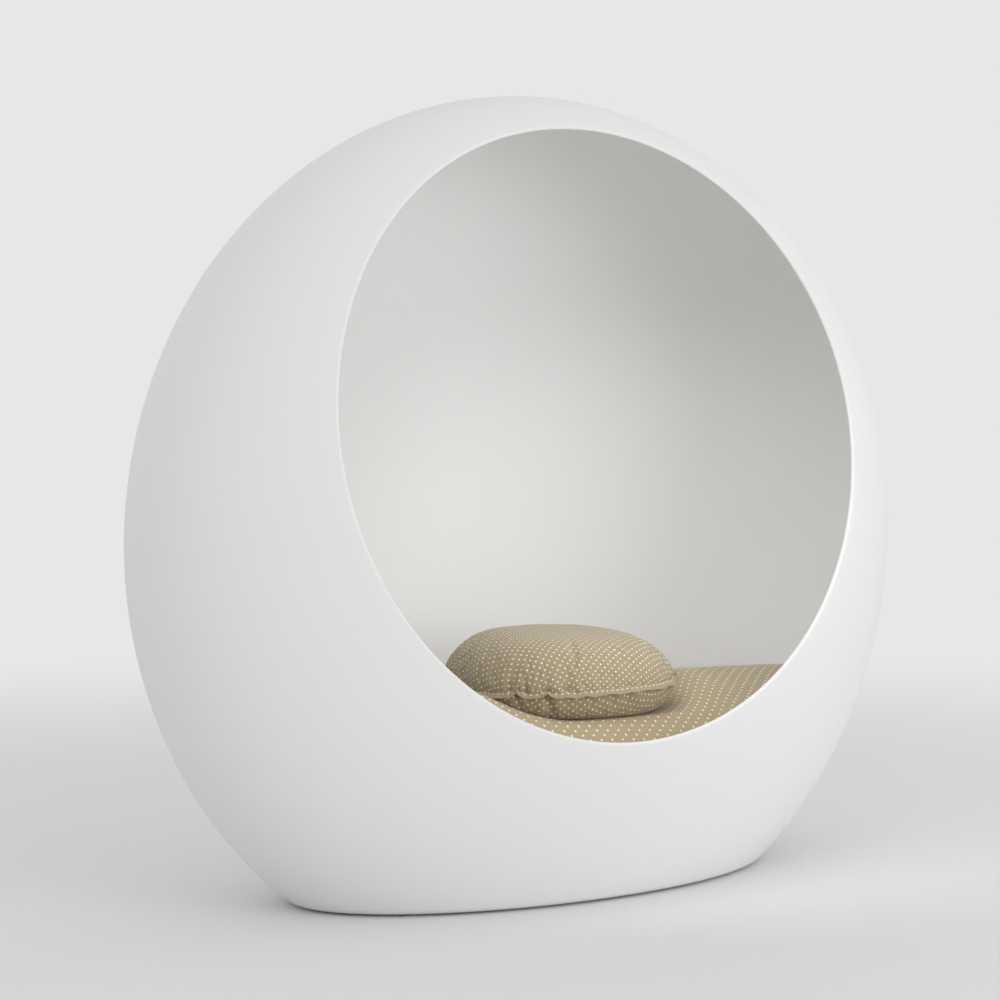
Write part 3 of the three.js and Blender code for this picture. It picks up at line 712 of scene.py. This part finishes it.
def blow_up(piece, held):
    """Runs the cloth under a light pressure, and gives how far each point moved, up to a cap."""
    before = vertex_points(piece.data)
    group = piece.vertex_groups.new(name="held")
    for index, weight in enumerate(held):
        if weight > LEAST_HOLD:
            group.add([index], float(weight), "REPLACE")
    cloth = piece.modifiers.new("cloth", "CLOTH")
    for key, value in CLOTH_SETTINGS.items():
        setattr(cloth.settings, key, value)
    cloth.settings.vertex_group_mass = group.name
    cloth.settings.effector_weights.gravity = 0
    cloth.point_cache.frame_start = 1
    cloth.point_cache.frame_end = CLOTH_FRAMES
    for number in range(1, CLOTH_FRAMES + 1):
        bpy.context.scene.frame_set(number)
    shape = piece.evaluated_get(bpy.context.evaluated_depsgraph_get())
    moved = vertex_points(shape.data) - before
    bpy.context.scene.frame_set(1)
    length = np.linalg.norm(moved, axis=1, keepdims=True)
    return unit(moved) * CLOTH_CAP * np.tanh(length / CLOTH_CAP)


def cloth_moves():
    """How far each place of the coarse panels moves when they are blown up as cloth."""
    surface = Surface()
    grids, held = {}, []
    for top, rows in ((True, CLOTH_TOP_ROWS), (False, CLOTH_BOTTOM_ROWS)):
        share, turn = panel_grid(rows, CLOTH_COLUMNS)
        grids[top] = pillow_points(share, turn, top)
        surface.grid(grids[top])
        held.append(held_share(share, grids[top]).ravel())
    piece = surface.build("pillow_cloth")
    welded = vertex_points(piece.data)
    tree = KDTree(len(welded))
    for index, point in enumerate(welded):
        tree.insert(point, index)
    tree.balance()
    found = {top: [tree.find(p)[1] for p in grid.reshape(-1, 3)] for top, grid in grids.items()}
    weights = np.zeros(len(welded))
    for indices, values in zip(found.values(), held):
        weights[indices] = values
    moved = blow_up(piece, weights)
    bpy.data.objects.remove(piece)
    return {top: moved[found[top]].reshape(grids[top].shape) for top in grids}


def drawn_through(values, times):
    """A smooth curve through the rows of values, in so many steps a row, without the two end rows."""
    before, here, ahead, beyond = values[:-3], values[1:-2], values[2:-1], values[3:]
    steps = []
    for step in range(times):
        share = step / times
        slope = (ahead - before) * share
        bend = (2 * before - 5 * here + 4 * ahead - beyond) * share**2
        twist = (3 * here - before - 3 * ahead + beyond) * share**3
        steps.append((2 * here + slope + bend + twist) / 2)
    made = np.stack(steps, axis=1).reshape((-1,) + values.shape[1:])
    return np.concatenate([made, values[-2:-1]])


def finer(field):
    """A field on a coarse panel, drawn on the finer grid."""
    ends = np.concatenate([2 * field[:1] - field[1:2], field, 2 * field[-1:] - field[-2:-1]])
    rows = drawn_through(ends, CLOTH_FINER)
    ring = np.concatenate([rows[:, -2:-1], rows, rows[:, 1:2]], axis=1)
    return drawn_through(ring.swapaxes(0, 1), CLOTH_FINER).swapaxes(0, 1)


def grid_normals(points):
    """Normals of a closed panel grid, pointing to the side that its rows and columns give."""
    down = np.gradient(points, axis=0)
    ring = np.concatenate([points[:, -2:-1], points, points[:, 1:2]], axis=1)
    around = (ring[:, 2:] - ring[:, :-2]) / 2
    return unit(np.cross(down, around))


def outward_from_pillow(points):
    return unit(points[..., :2] - np.array(PILLOW_PLACE))


def make_pillow():
    surface = Surface()
    moved = cloth_moves()
    for top, rows in ((True, CLOTH_TOP_ROWS), (False, CLOTH_BOTTOM_ROWS)):
        share, turn = panel_grid(rows * CLOTH_FINER, CLOTH_COLUMNS * CLOTH_FINER)
        points = pillow_points(share, turn, top)
        if moved is not None:
            points = points + finer(moved[top])
        run, away = seam_run(turn), seam_distance(share, top)
        normals = grid_normals(points) * (1 if top else -1)
        free = free_share(points)
        inward, upward = seam_shift(run, away)
        points = points - (pucker_depth(run, away, top) * free)[..., None] * normals
        points[..., :2] -= (inward * free)[..., None] * outward_from_pillow(points)
        points[..., 2] += upward * free
        points[:, -1] = points[:, 0]
        surface.grid(points, panel_places(share, turn, top))
    piece = surface.build("pillow")
    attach(piece, "scatter_pillow")
    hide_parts("pillow_cover_top", "pillow_cover_bottom", "pillow_filling")
    return piece


# The flange round the pillow: two layers of cloth that hang down between the pinches
FLANGE_COLUMNS = 1100
FLANGE_STEPS = 8
FLANGE_ROUND_POINTS = 5
FLANGE_THICKNESS = 0.0022
FLANGE_THINNING_SHARE = 0.35
FLANGE_ROOT = 0.004
FLANGE_DROOP = math.radians(44)
FLANGE_LIFT = math.radians(8)
FLANGE_SWAY = 0.20
FLANGE_BEND_START = 0.001
FLANGE_BEND_REACH = 0.005
FLANGE_LEAST_BEND_SHARE = 0.15
FLANGE_PINCH_SHARE = 0.22
FLANGE_WANDER_SHARE = 0.10
FLANGE_CRUMPLE = 0.0006
FLANGE_FRAY = 0.0004
FLANGE_CLOTH_WIDTH = 0.015
FLANGE_FACE_SHIFT = 0.02

# Chance waves round the flange: how many in about a metre, and where in the noise they start
SLOW_WAVES = (45, 1.7)
QUICK_WAVES = (170, 5.2)
FRAY_WAVES = (620, 9.4)
CORNER_TURNS = np.radians([331, 64, 151])
CORNER_REACH = 0.016
CORNER_GROWTH_SHARE = 0.05
CORNER_LIFT_SHARE = 0.75


def flange_section():
    """Places over the flange's width, and which of its two faces each lies on."""
    out = np.linspace(0, 1, FLANGE_STEPS)[:-1]
    turn = np.linspace(math.pi / 2, -math.pi / 2, FLANGE_ROUND_POINTS)
    edge = FLANGE_THICKNESS / 2 / (PILLOW_FLANGE + FLANGE_ROOT)
    wide = np.concatenate([out * (1 - edge), 1 - edge + edge * np.cos(turn), (out * (1 - edge))[::-1]])
    face = np.concatenate([np.ones(len(out)), np.sin(turn), -np.ones(len(out))])
    return np.append(wide, wide[0]), np.append(face, face[0])


def ring_noise(run, waves, start):
    """Smooth chance values round the seam that meet where they start."""
    turn = run / SEAM_LENGTH * math.tau
    reach = waves * SEAM_LENGTH / math.tau
    return np.array([noise.noise((reach * math.cos(t), reach * math.sin(t), start)) for t in turn])


def corner_closeness(run):
    """1 at a corner of the pillow, and 0 away from the corners."""
    gaps = [short_way(run - seam_run(turn), SEAM_LENGTH) for turn in CORNER_TURNS]
    return np.exp(-((np.array(gaps) / CORNER_REACH) ** 2)).max(axis=0)


def seam_line(turns):
    """Points of the seam, and the level direction that points out of the pillow at each."""
    across, along = pillow_plan(1, turns)
    x, y = over_seat(across, along)
    inward, upward = seam_shift(seam_run(turns), 0 * turns)
    seam = np.stack([x, y, PILLOW_SEAM_HEIGHT + upward], axis=-1)
    seam[:, :2] -= inward[:, None] * outward_from_pillow(seam)
    tangent = np.gradient(np.stack([x, y], axis=-1), axis=0)
    tangent[0] = tangent[-1] = (tangent[0] + tangent[-1]) / 2
    return seam, unit(np.stack([tangent[:, 1], -tangent[:, 0], 0 * turns], axis=-1))


def make_flange():
    turns = np.linspace(0, math.tau, FLANGE_COLUMNS + 1)
    run = seam_run(turns)
    seam, outward = seam_line(turns)
    upward = np.array([0.0, 0.0, 1.0])
    pinch = seam_pinch(run)
    slow = ring_noise(run, *SLOW_WAVES)
    quick = ring_noise(run, *QUICK_WAVES)
    fray = ring_noise(run, *FRAY_WAVES)
    corner = corner_closeness(run)
    length = 1 - FLANGE_PINCH_SHARE * pinch + FLANGE_WANDER_SHARE * slow + CORNER_GROWTH_SHARE * corner
    droop = FLANGE_DROOP * (1 - pinch) + FLANGE_LIFT * pinch + FLANGE_SWAY * slow
    droop = droop * (1 - CORNER_LIFT_SHARE * corner)
    wide, face = flange_section()
    rows = []
    for place, side in zip(wide, face):
        reach = place * (PILLOW_FLANGE + FLANGE_ROOT) - FLANGE_ROOT
        free = max(0.0, reach / PILLOW_FLANGE)
        bent = (reach + FLANGE_BEND_START) / FLANGE_BEND_REACH
        bend = (droop * np.clip(bent, FLANGE_LEAST_BEND_SHARE, 1))[:, None]
        rise = FLANGE_THICKNESS / 2 * side * (1 - FLANGE_THINNING_SHARE * max(0, place))
        rise = rise + free * (FLANGE_CRUMPLE * quick + FLANGE_FRAY * fray)
        stretch = reach * length + free * FLANGE_FRAY * fray if reach > 0 else reach + 0 * run
        ahead = np.cos(bend) * outward - np.sin(bend) * upward
        over = np.sin(bend) * outward + np.cos(bend) * upward
        rows.append(seam + stretch[:, None] * ahead + rise[:, None] * over)
    surface = Surface()
    over = wide * FLANGE_CLOTH_WIDTH + face * FLANGE_FACE_SHIFT
    places = np.stack(np.broadcast_arrays(run[None], over[:, None]), axis=-1)
    surface.grid(np.array(rows), places)
    piece = surface.build("pillow_flange")
    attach(piece, "scatter_pillow")
    return piece


# A corner's ear: a leaf of doubled cloth that stands out where the flange is tucked
EAR_LENGTH = 0.0110
EAR_WIDTH = 0.0110
EAR_THICKNESS = 0.0011
EAR_GAP = 0.0022
EAR_ROOT = 0.002
EAR_SIDE_STEP = 0.004
EAR_CURL = 0.0010
EAR_POINTS = 9
EAR_CLOTH_RISE = 1.4
EAR_SIDE_SHARE = 0.15
EAR_THINNING_SHARE = 0.9
EAR_SEAM_TURNS = np.array([-0.01, 0, 0.01])

# An ear's two leaves: how each lifts and twists, and its size as a share
EAR_LEAVES_SHARES = ((0.02, -0.25, 1.0), (0.30, 0.30, 0.75))


def ear_leaf(surface, root, outward, sideways, lift, twist, scale):
    """One layer of an ear, as a closed thin leaf with a soft curl."""
    steps = np.linspace(0, 1, EAR_POINTS)
    step = np.concatenate([steps, steps[::-1], steps[:1]])[:, None]
    side = np.repeat([1, -1, 1], [EAR_POINTS, EAR_POINTS, 1])[:, None]
    place = np.linspace(-1, 1, EAR_POINTS)
    drawn = 1 - EAR_SIDE_SHARE * place**2
    breadth = EAR_WIDTH / 2 * scale * (1 - step**1.6) ** 0.6 * drawn * place
    ahead = EAR_LENGTH * scale * step * drawn
    thick = (1 - EAR_THINNING_SHARE * step**4) * (1 - EAR_THINNING_SHARE * place**8)
    rows = root + ahead[..., None] * outward + breadth[..., None] * sideways
    rows[..., 2] += lift * ahead + twist * breadth + EAR_CURL * np.sin(3 * step + 2 * place)
    rows[..., 2] += side * EAR_THICKNESS / 2 * thick
    surface.grid(rows, np.stack([rows[..., 0] + rows[..., 1], rows[..., 2] * EAR_CLOTH_RISE], axis=-1))
    for end in (0, -1):
        surface.grid(np.array([rows[:EAR_POINTS, end], rows[EAR_POINTS:-1, end][::-1]]))


def make_ears():
    surface = Surface()
    for turn in CORNER_TURNS:
        seam, outward = seam_line(EAR_SEAM_TURNS + turn)
        ahead = outward[1]
        sideways = np.array([-ahead[1], ahead[0], 0])
        root = seam[1] - ahead * EAR_ROOT
        for shares in EAR_LEAVES_SHARES:
            root = root + sideways * EAR_SIDE_STEP + np.array([0, 0, EAR_GAP])
            ear_leaf(surface, root, ahead, sideways, *shares)
    piece = surface.build("pillow_corner_tucks", weld=FINE_WELD)
    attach(piece, "scatter_pillow")
    return piece


# Materials. A mix node has its colours on these sockets, and a noise mostly stays in this range
MIX_FIRST = 6
MIX_SECOND = 7
MIX_RESULT = 2
NOISE_RANGE = (0.3, 0.7)


class Nodes:
    """A node tree, with short ways to add and join nodes."""

    def __init__(self, owner):
        owner.use_nodes = True
        self.tree = owner.node_tree

    def fill(self, node, inputs):
        """Links a socket to each input, or sets its plain value. A colour is three numbers."""
        for key, value in inputs.items():
            socket = node.inputs[key]
            if isinstance(value, bpy.types.NodeSocket):
                self.tree.links.new(value, socket)
            else:
                socket.default_value = (*value, 1.0) if socket.type == "RGBA" else value

    def node(self, kind, inputs=None, **settings):
        made = self.tree.nodes.new(kind)
        for key, value in settings.items():
            setattr(made, key, value)
        self.fill(made, inputs or {})
        return made

    def math(self, operation, first, second=0.0):
        return self.node("ShaderNodeMath", {0: first, 1: second}, operation=operation).outputs[0]

    def noise(self, vector, scale, detail, roughness=0.5):
        inputs = {"Vector": vector, "Scale": scale, "Detail": detail, "Roughness": roughness}
        return self.node("ShaderNodeTexNoise", inputs).outputs["Fac"]

    def vector(self, operation, first, second=(0.0, 0.0, 0.0)):
        return self.node("ShaderNodeVectorMath", {0: first, 1: second}, operation=operation).outputs[0]

    def scaled(self, vector, scale):
        inputs = {0: vector, "Scale": scale}
        return self.node("ShaderNodeVectorMath", inputs, operation="SCALE").outputs[0]

    def parts(self, vector):
        return self.node("ShaderNodeSeparateXYZ", {0: vector}).outputs

    def waves(self, vector, pitch):
        """A sine wave of this pitch along each direction."""
        return self.parts(self.vector("SINE", self.scaled(vector, math.tau / pitch)))

    def remap(self, value, low, high, to_low, to_high, kind="LINEAR"):
        ends = {"From Min": low, "From Max": high, "To Min": to_low, "To Max": to_high}
        made = self.node("ShaderNodeMapRange", {"Value": value, **ends}, interpolation_type=kind)
        return made.outputs["Result"]

    def mix(self, share, first, second):
        inputs = {0: share, MIX_FIRST: first, MIX_SECOND: second}
        return self.node("ShaderNodeMix", inputs, data_type="RGBA").outputs[MIX_RESULT]

    def seen(self):
        """1 for what the camera sees itself, or through something clear."""
        rays = self.node("ShaderNodeLightPath").outputs
        return self.math("MAXIMUM", rays["Is Camera Ray"], rays["Is Transmission Ray"])

    def show(self, output, share, first, second):
        """Puts a mix of two shaders on the tree's output."""
        mixed = self.node("ShaderNodeMixShader", {0: share, 1: first.outputs[0], 2: second.outputs[0]})
        self.fill(self.tree.nodes[output], {"Surface": mixed.outputs[0]})

    def bump(self, height, distance, strength):
        inputs = {"Height": height, "Distance": distance, "Strength": strength}
        return self.node("ShaderNodeBump", inputs).outputs["Normal"]

    def place(self):
        return self.node("ShaderNodeTexCoord").outputs["Object"]


class Shader(Nodes):
    """A material's node tree, round its main shader."""

    def __init__(self, name):
        self.material = bpy.data.materials.new(name)
        super().__init__(self.material)
        self.surface = self.tree.nodes["Principled BSDF"]

    def set(self, **values):
        self.fill(self.surface, {key.replace("_", " "): value for key, value in values.items()})


def mottled(name, tint, wear, grain, **values):
    """A plain material from three noises, each given by its scale and its detail. The tint's has two
    colours, the wear's has two roughnesses, and the grain's has its height and its strength."""
    shader = Shader(name)
    place = shader.place()
    scale, detail, dark, light = tint
    shader.set(Base_Color=shader.mix(shader.noise(place, scale, detail), dark, light))
    scale, detail, low, high = wear
    shader.set(Roughness=shader.remap(shader.noise(place, scale, detail), *NOISE_RANGE, low, high))
    scale, detail, height, strength = grain
    shader.set(Normal=shader.bump(shader.noise(place, scale, detail), height, strength), **values)
    return shader.material


def gelcoat():
    tint = (2.2, 2.0, (0.790, 0.790, 0.786), (0.805, 0.805, 0.801))
    wear, peel = (5.0, 2.0, 0.44, 0.48), (320.0, 2.0, 0.00004, 0.4)
    return mottled("gelcoat_white", tint, wear, peel, Specular_IOR_Level=0.42)


# Painted light: the lining is the same white as the shell, painted lighter so that the inside of the
# pod looks brighter than its light alone makes it.
def lining():
    tint = (3.0, 2.0, (0.852, 0.857, 0.862), (0.866, 0.871, 0.876))
    return mottled("liner_white", tint, (3.0, 2.0, 0.58, 0.64), (900.0, 2.0, 0.00006, 0.4))


def zinc_steel():
    tint = (700.0, 3.0, (0.50, 0.51, 0.52), (0.68, 0.69, 0.70))
    wear, spangle = (700.0, 3.0, 0.28, 0.45), (700.0, 3.0, 0.00005, 0.5)
    return mottled("zinc_steel", tint, wear, spangle, Metallic=1.0)


def nylon_black():
    tint = (60.0, 3.0, (0.018, 0.018, 0.019), (0.04, 0.04, 0.042))
    return mottled("nylon_black", tint, (60.0, 3.0, 0.42, 0.62), (1500.0, 2.0, 0.0001, 0.5))


# The cotton: its dark, light and pale threads, and the colour and the soft edge of its dots
THREAD_COLORS = ((0.38, 0.308, 0.183), (0.49, 0.402, 0.248), (0.52, 0.432, 0.280))
DOT_COLOR = (0.95, 0.91, 0.77)
DOT_EDGE = 0.0004
THREAD_PITCH = 0.0009
PRINT_WANDER = 0.0010
HALF_CELL = (0.5, 0.5, 0.0)
MIDDLE_NOISE = (0.5, 0.5, 0.5)

# Each pattern: the pitch and the radius of its dots, the turn of their rows, and the cloth's brightness
LARGE_DOTS = (0.0155, 0.0022, math.radians(-41), 1.06)
SMALL_DOTS = (0.0102, 0.0015, 0.0, 0.82)


def dotted_fabric(name, pitch, dot_radius, turn, tone):
    """Woven cotton with a square lattice of pale dots that follows the cloth's flat places."""
    shader = Shader(name)
    flat = shader.node("ShaderNodeUVMap", uv_map="cloth").outputs["UV"]
    wobble = shader.node("ShaderNodeTexNoise", {"Vector": flat, "Scale": 90.0, "Detail": 1.0})
    shift = shader.vector("SUBTRACT", wobble.outputs["Color"], MIDDLE_NOISE)
    moved = {"Vector": shader.vector("ADD", flat, shader.scaled(shift, PRINT_WANDER)), "Angle": turn}
    print_place = shader.node("ShaderNodeVectorRotate", moved, rotation_type="Z_AXIS").outputs[0]
    cell = shader.vector("FRACTION", shader.scaled(print_place, 1 / pitch))
    across, along, _ = shader.parts(shader.vector("SUBTRACT", cell, HALF_CELL))
    square = shader.math("MULTIPLY", across, across)
    square = shader.math("ADD", square, shader.math("MULTIPLY", along, along))
    away = shader.math("MULTIPLY", shader.math("SQRT", square), pitch)
    dots = shader.remap(away, dot_radius - DOT_EDGE, dot_radius + DOT_EDGE, 1.0, 0.0, "SMOOTHSTEP")
    warp, weft, _ = shader.waves(flat, THREAD_PITCH)
    weave = shader.math("MULTIPLY", warp, weft)
    slub = shader.noise(flat, 260.0, 3.0, 0.6)
    fade = shader.math("MULTIPLY", shader.noise(shader.place(), 7.0, 3.0), 0.25)
    dark, light, pale = tone * np.array(THREAD_COLORS)
    cloth = shader.mix(fade, shader.mix(slub, dark, light), pale)
    tint = shader.mix(dots, cloth, DOT_COLOR)
    height = shader.math("ADD", shader.math("MULTIPLY", weave, 0.5), shader.math("MULTIPLY", slub, 0.8))
    height = shader.math("ADD", height, shader.math("MULTIPLY", dots, 0.4))
    shader.set(Base_Color=tint, Roughness=shader.remap(slub, *NOISE_RANGE, 0.8, 0.95))
    shader.set(Normal=shader.bump(height, 0.00025, 0.6), Sheen_Weight=0.2, Sheen_Roughness=0.5)
    return shader.material


PLY_PITCH = 0.003
GRAIN_SCALE = (6.0, 90.0, 90.0)


def plywood(name, layer_axis):
    """Birch plywood: a long grain on the faces and thin layers on the cut edges."""
    shader = Shader(name)
    place = shader.place()
    stretch = shader.node("ShaderNodeMapping", {"Vector": place, "Scale": GRAIN_SCALE}).outputs[0]
    grain = shader.noise(stretch, 1.0, 6.0, 0.65)
    broad = shader.math("MULTIPLY", shader.noise(place, 5.0, 3.0), 0.4)
    face = shader.mix(grain, (0.50, 0.35, 0.20), (0.72, 0.55, 0.36))
    face = shader.mix(broad, face, (0.60, 0.43, 0.26))
    layers = shader.waves(place, PLY_PITCH)[layer_axis]
    layers = shader.remap(layers, -0.3, 0.3, 0.0, 1.0, "SMOOTHSTEP")
    edge = shader.mix(layers, (0.36, 0.23, 0.12), (0.66, 0.49, 0.31))
    facing = shader.node("ShaderNodeNewGeometry").outputs["True Normal"]
    toward = shader.parts(facing)[layer_axis]
    on_face = shader.remap(shader.math("ABSOLUTE", toward), 0.6, 0.8, 0.0, 1.0)
    shader.set(Base_Color=shader.mix(on_face, edge, face))
    shader.set(Roughness=shader.remap(grain, *NOISE_RANGE, 0.5, 0.7))
    shader.set(Normal=shader.bump(grain, 0.0002, 0.5))
    return shader.material


def paint(piece, material):
    piece.data.materials.clear()
    piece.data.materials.append(material)


def dress_frame_nodes():
    """Better materials for the CAD nodes whose own shape is right."""
    flat_board = plywood("plywood_flat", 2)
    upright_board = plywood("plywood_upright", 0)
    steel = zinc_steel()
    nylon = nylon_black()
    for name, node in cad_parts.items():
        if "screw" in name:
            paint(node, steel)
        elif name.startswith("glide"):
            paint(node, nylon)
        elif name.startswith("rib"):
            paint(node, upright_board)
        elif name in ("base_board", "seat_deck"):
            paint(node, flat_board)


# The stage, the light and the camera
BACKGROUND = (0.80, 0.80, 0.80)
FLOOR_RADIUS = 30.0
FLOOR_FADE_START = 1.4
FLOOR_FADE_END = 4.0
FLOOR_SEGMENTS = 64
SKY_STRENGTH = 0.80

# Each light: its place, what it aims at, its size and its power
SHELL_MIDDLE = (0.0, 0.0, 0.7)
FRONT_LIGHT = ((2.0, -5.2, 1.5), SHELL_MIDDLE, (4.0, 2.6), 87)
LEFT_LIGHT = ((-4.4, -1.2, 2.2), SHELL_MIDDLE, (0.5, 2.6), 4)
ROOM_LIGHT = ((0.02, MIDDLE_Y - 0.40, 0.92), (0.32, 0.08, 0.36), (0.6, 0.3), 0.88)
ROOM_LIGHT_SPREAD = math.radians(110)


def make_stage():
    """A wide pale floor that keeps the shadow near the object and fades into the background."""
    mesh = bpy.data.meshes.new("floor")
    work = bmesh.new()
    bmesh.ops.create_circle(work, cap_ends=True, radius=FLOOR_RADIUS, segments=FLOOR_SEGMENTS)
    work.to_mesh(mesh)
    work.free()
    floor = add_object("floor", mesh)
    shader = Shader("floor_pale")
    place = shader.place()
    tint = shader.mix(shader.noise(place, 2.0, 2.0), (0.78, 0.78, 0.78), (0.80, 0.80, 0.80))
    shader.set(Base_Color=tint, Roughness=0.9, Specular_IOR_Level=0.0)
    away = shader.node("ShaderNodeVectorMath", {0: place}, operation="LENGTH").outputs["Value"]
    fade = shader.remap(away, FLOOR_FADE_START, FLOOR_FADE_END, 0.0, 1.0, "SMOOTHSTEP")
    plain = shader.node("ShaderNodeEmission", {"Color": BACKGROUND})
    share = shader.math("MULTIPLY", fade, shader.seen())
    shader.show("Material Output", share, shader.surface, plain)
    paint(floor, shader.material)


def make_world():
    """Soft light from all sides, with a plain background where the camera looks."""
    world = bpy.data.worlds.new("studio")
    bpy.context.scene.world = world
    nodes = Nodes(world)
    soft = nodes.tree.nodes["Background"]
    nodes.fill(soft, {"Color": (1.0, 1.0, 1.0), "Strength": SKY_STRENGTH})
    plain = nodes.node("ShaderNodeBackground", {"Color": BACKGROUND})
    nodes.show("World Output", nodes.seen(), soft, plain)


def add_light(name, place, aim, size, energy):
    data = bpy.data.lights.new(name, "AREA")
    data.shape = "RECTANGLE"
    data.size, data.size_y = size
    data.energy = energy
    light = add_object(name, data)
    light.location = place
    light.rotation_mode = "QUATERNION"
    light.rotation_quaternion = (Vector(aim) - Vector(place)).to_track_quat("-Z", "Y")
    return light


def make_lights():
    front = add_light("front_light", *FRONT_LIGHT)
    front.visible_glossy = False
    add_light("left_light", *LEFT_LIGHT)
    room = add_light("room_light", *ROOM_LIGHT)
    room.data.spread = ROOM_LIGHT_SPREAD
    room.visible_camera = False
    room.visible_glossy = False


def make_camera():
    data = bpy.data.cameras.new("camera")
    data.sensor_width = SENSOR_WIDTH
    data.lens = VIEW_FOCAL_PIXELS / VIEW_PIXELS * SENSOR_WIDTH
    camera = add_object("camera", data)
    camera.location = (
        -VIEW_DISTANCE * math.sin(VIEW_AZIMUTH),
        -VIEW_DISTANCE * math.cos(VIEW_AZIMUTH) + MIDDLE_Y,
        VIEW_HEIGHT,
    )
    heading = VIEW_AZIMUTH + VIEW_YAW
    forward = Vector((
        math.sin(heading) * math.cos(VIEW_PITCH),
        math.cos(heading) * math.cos(VIEW_PITCH),
        math.sin(VIEW_PITCH),
    ))
    camera.rotation_mode = "QUATERNION"
    camera.rotation_quaternion = forward.to_track_quat("-Z", "Y")
    bpy.context.scene.camera = camera


make_camera()
bpy.context.scene.view_settings.view_transform = "Standard"
paint(make_shell(), gelcoat())
paint(make_lining(), lining())
paint(make_mattress(), dotted_fabric("spotted_fabric_large", *LARGE_DOTS))
small_dots = dotted_fabric("spotted_fabric_small", *SMALL_DOTS)
paint(make_pillow(), small_dots)
paint(make_flange(), small_dots)
paint(make_ears(), small_dots)
dress_frame_nodes()
make_stage()
make_world()
make_lights()
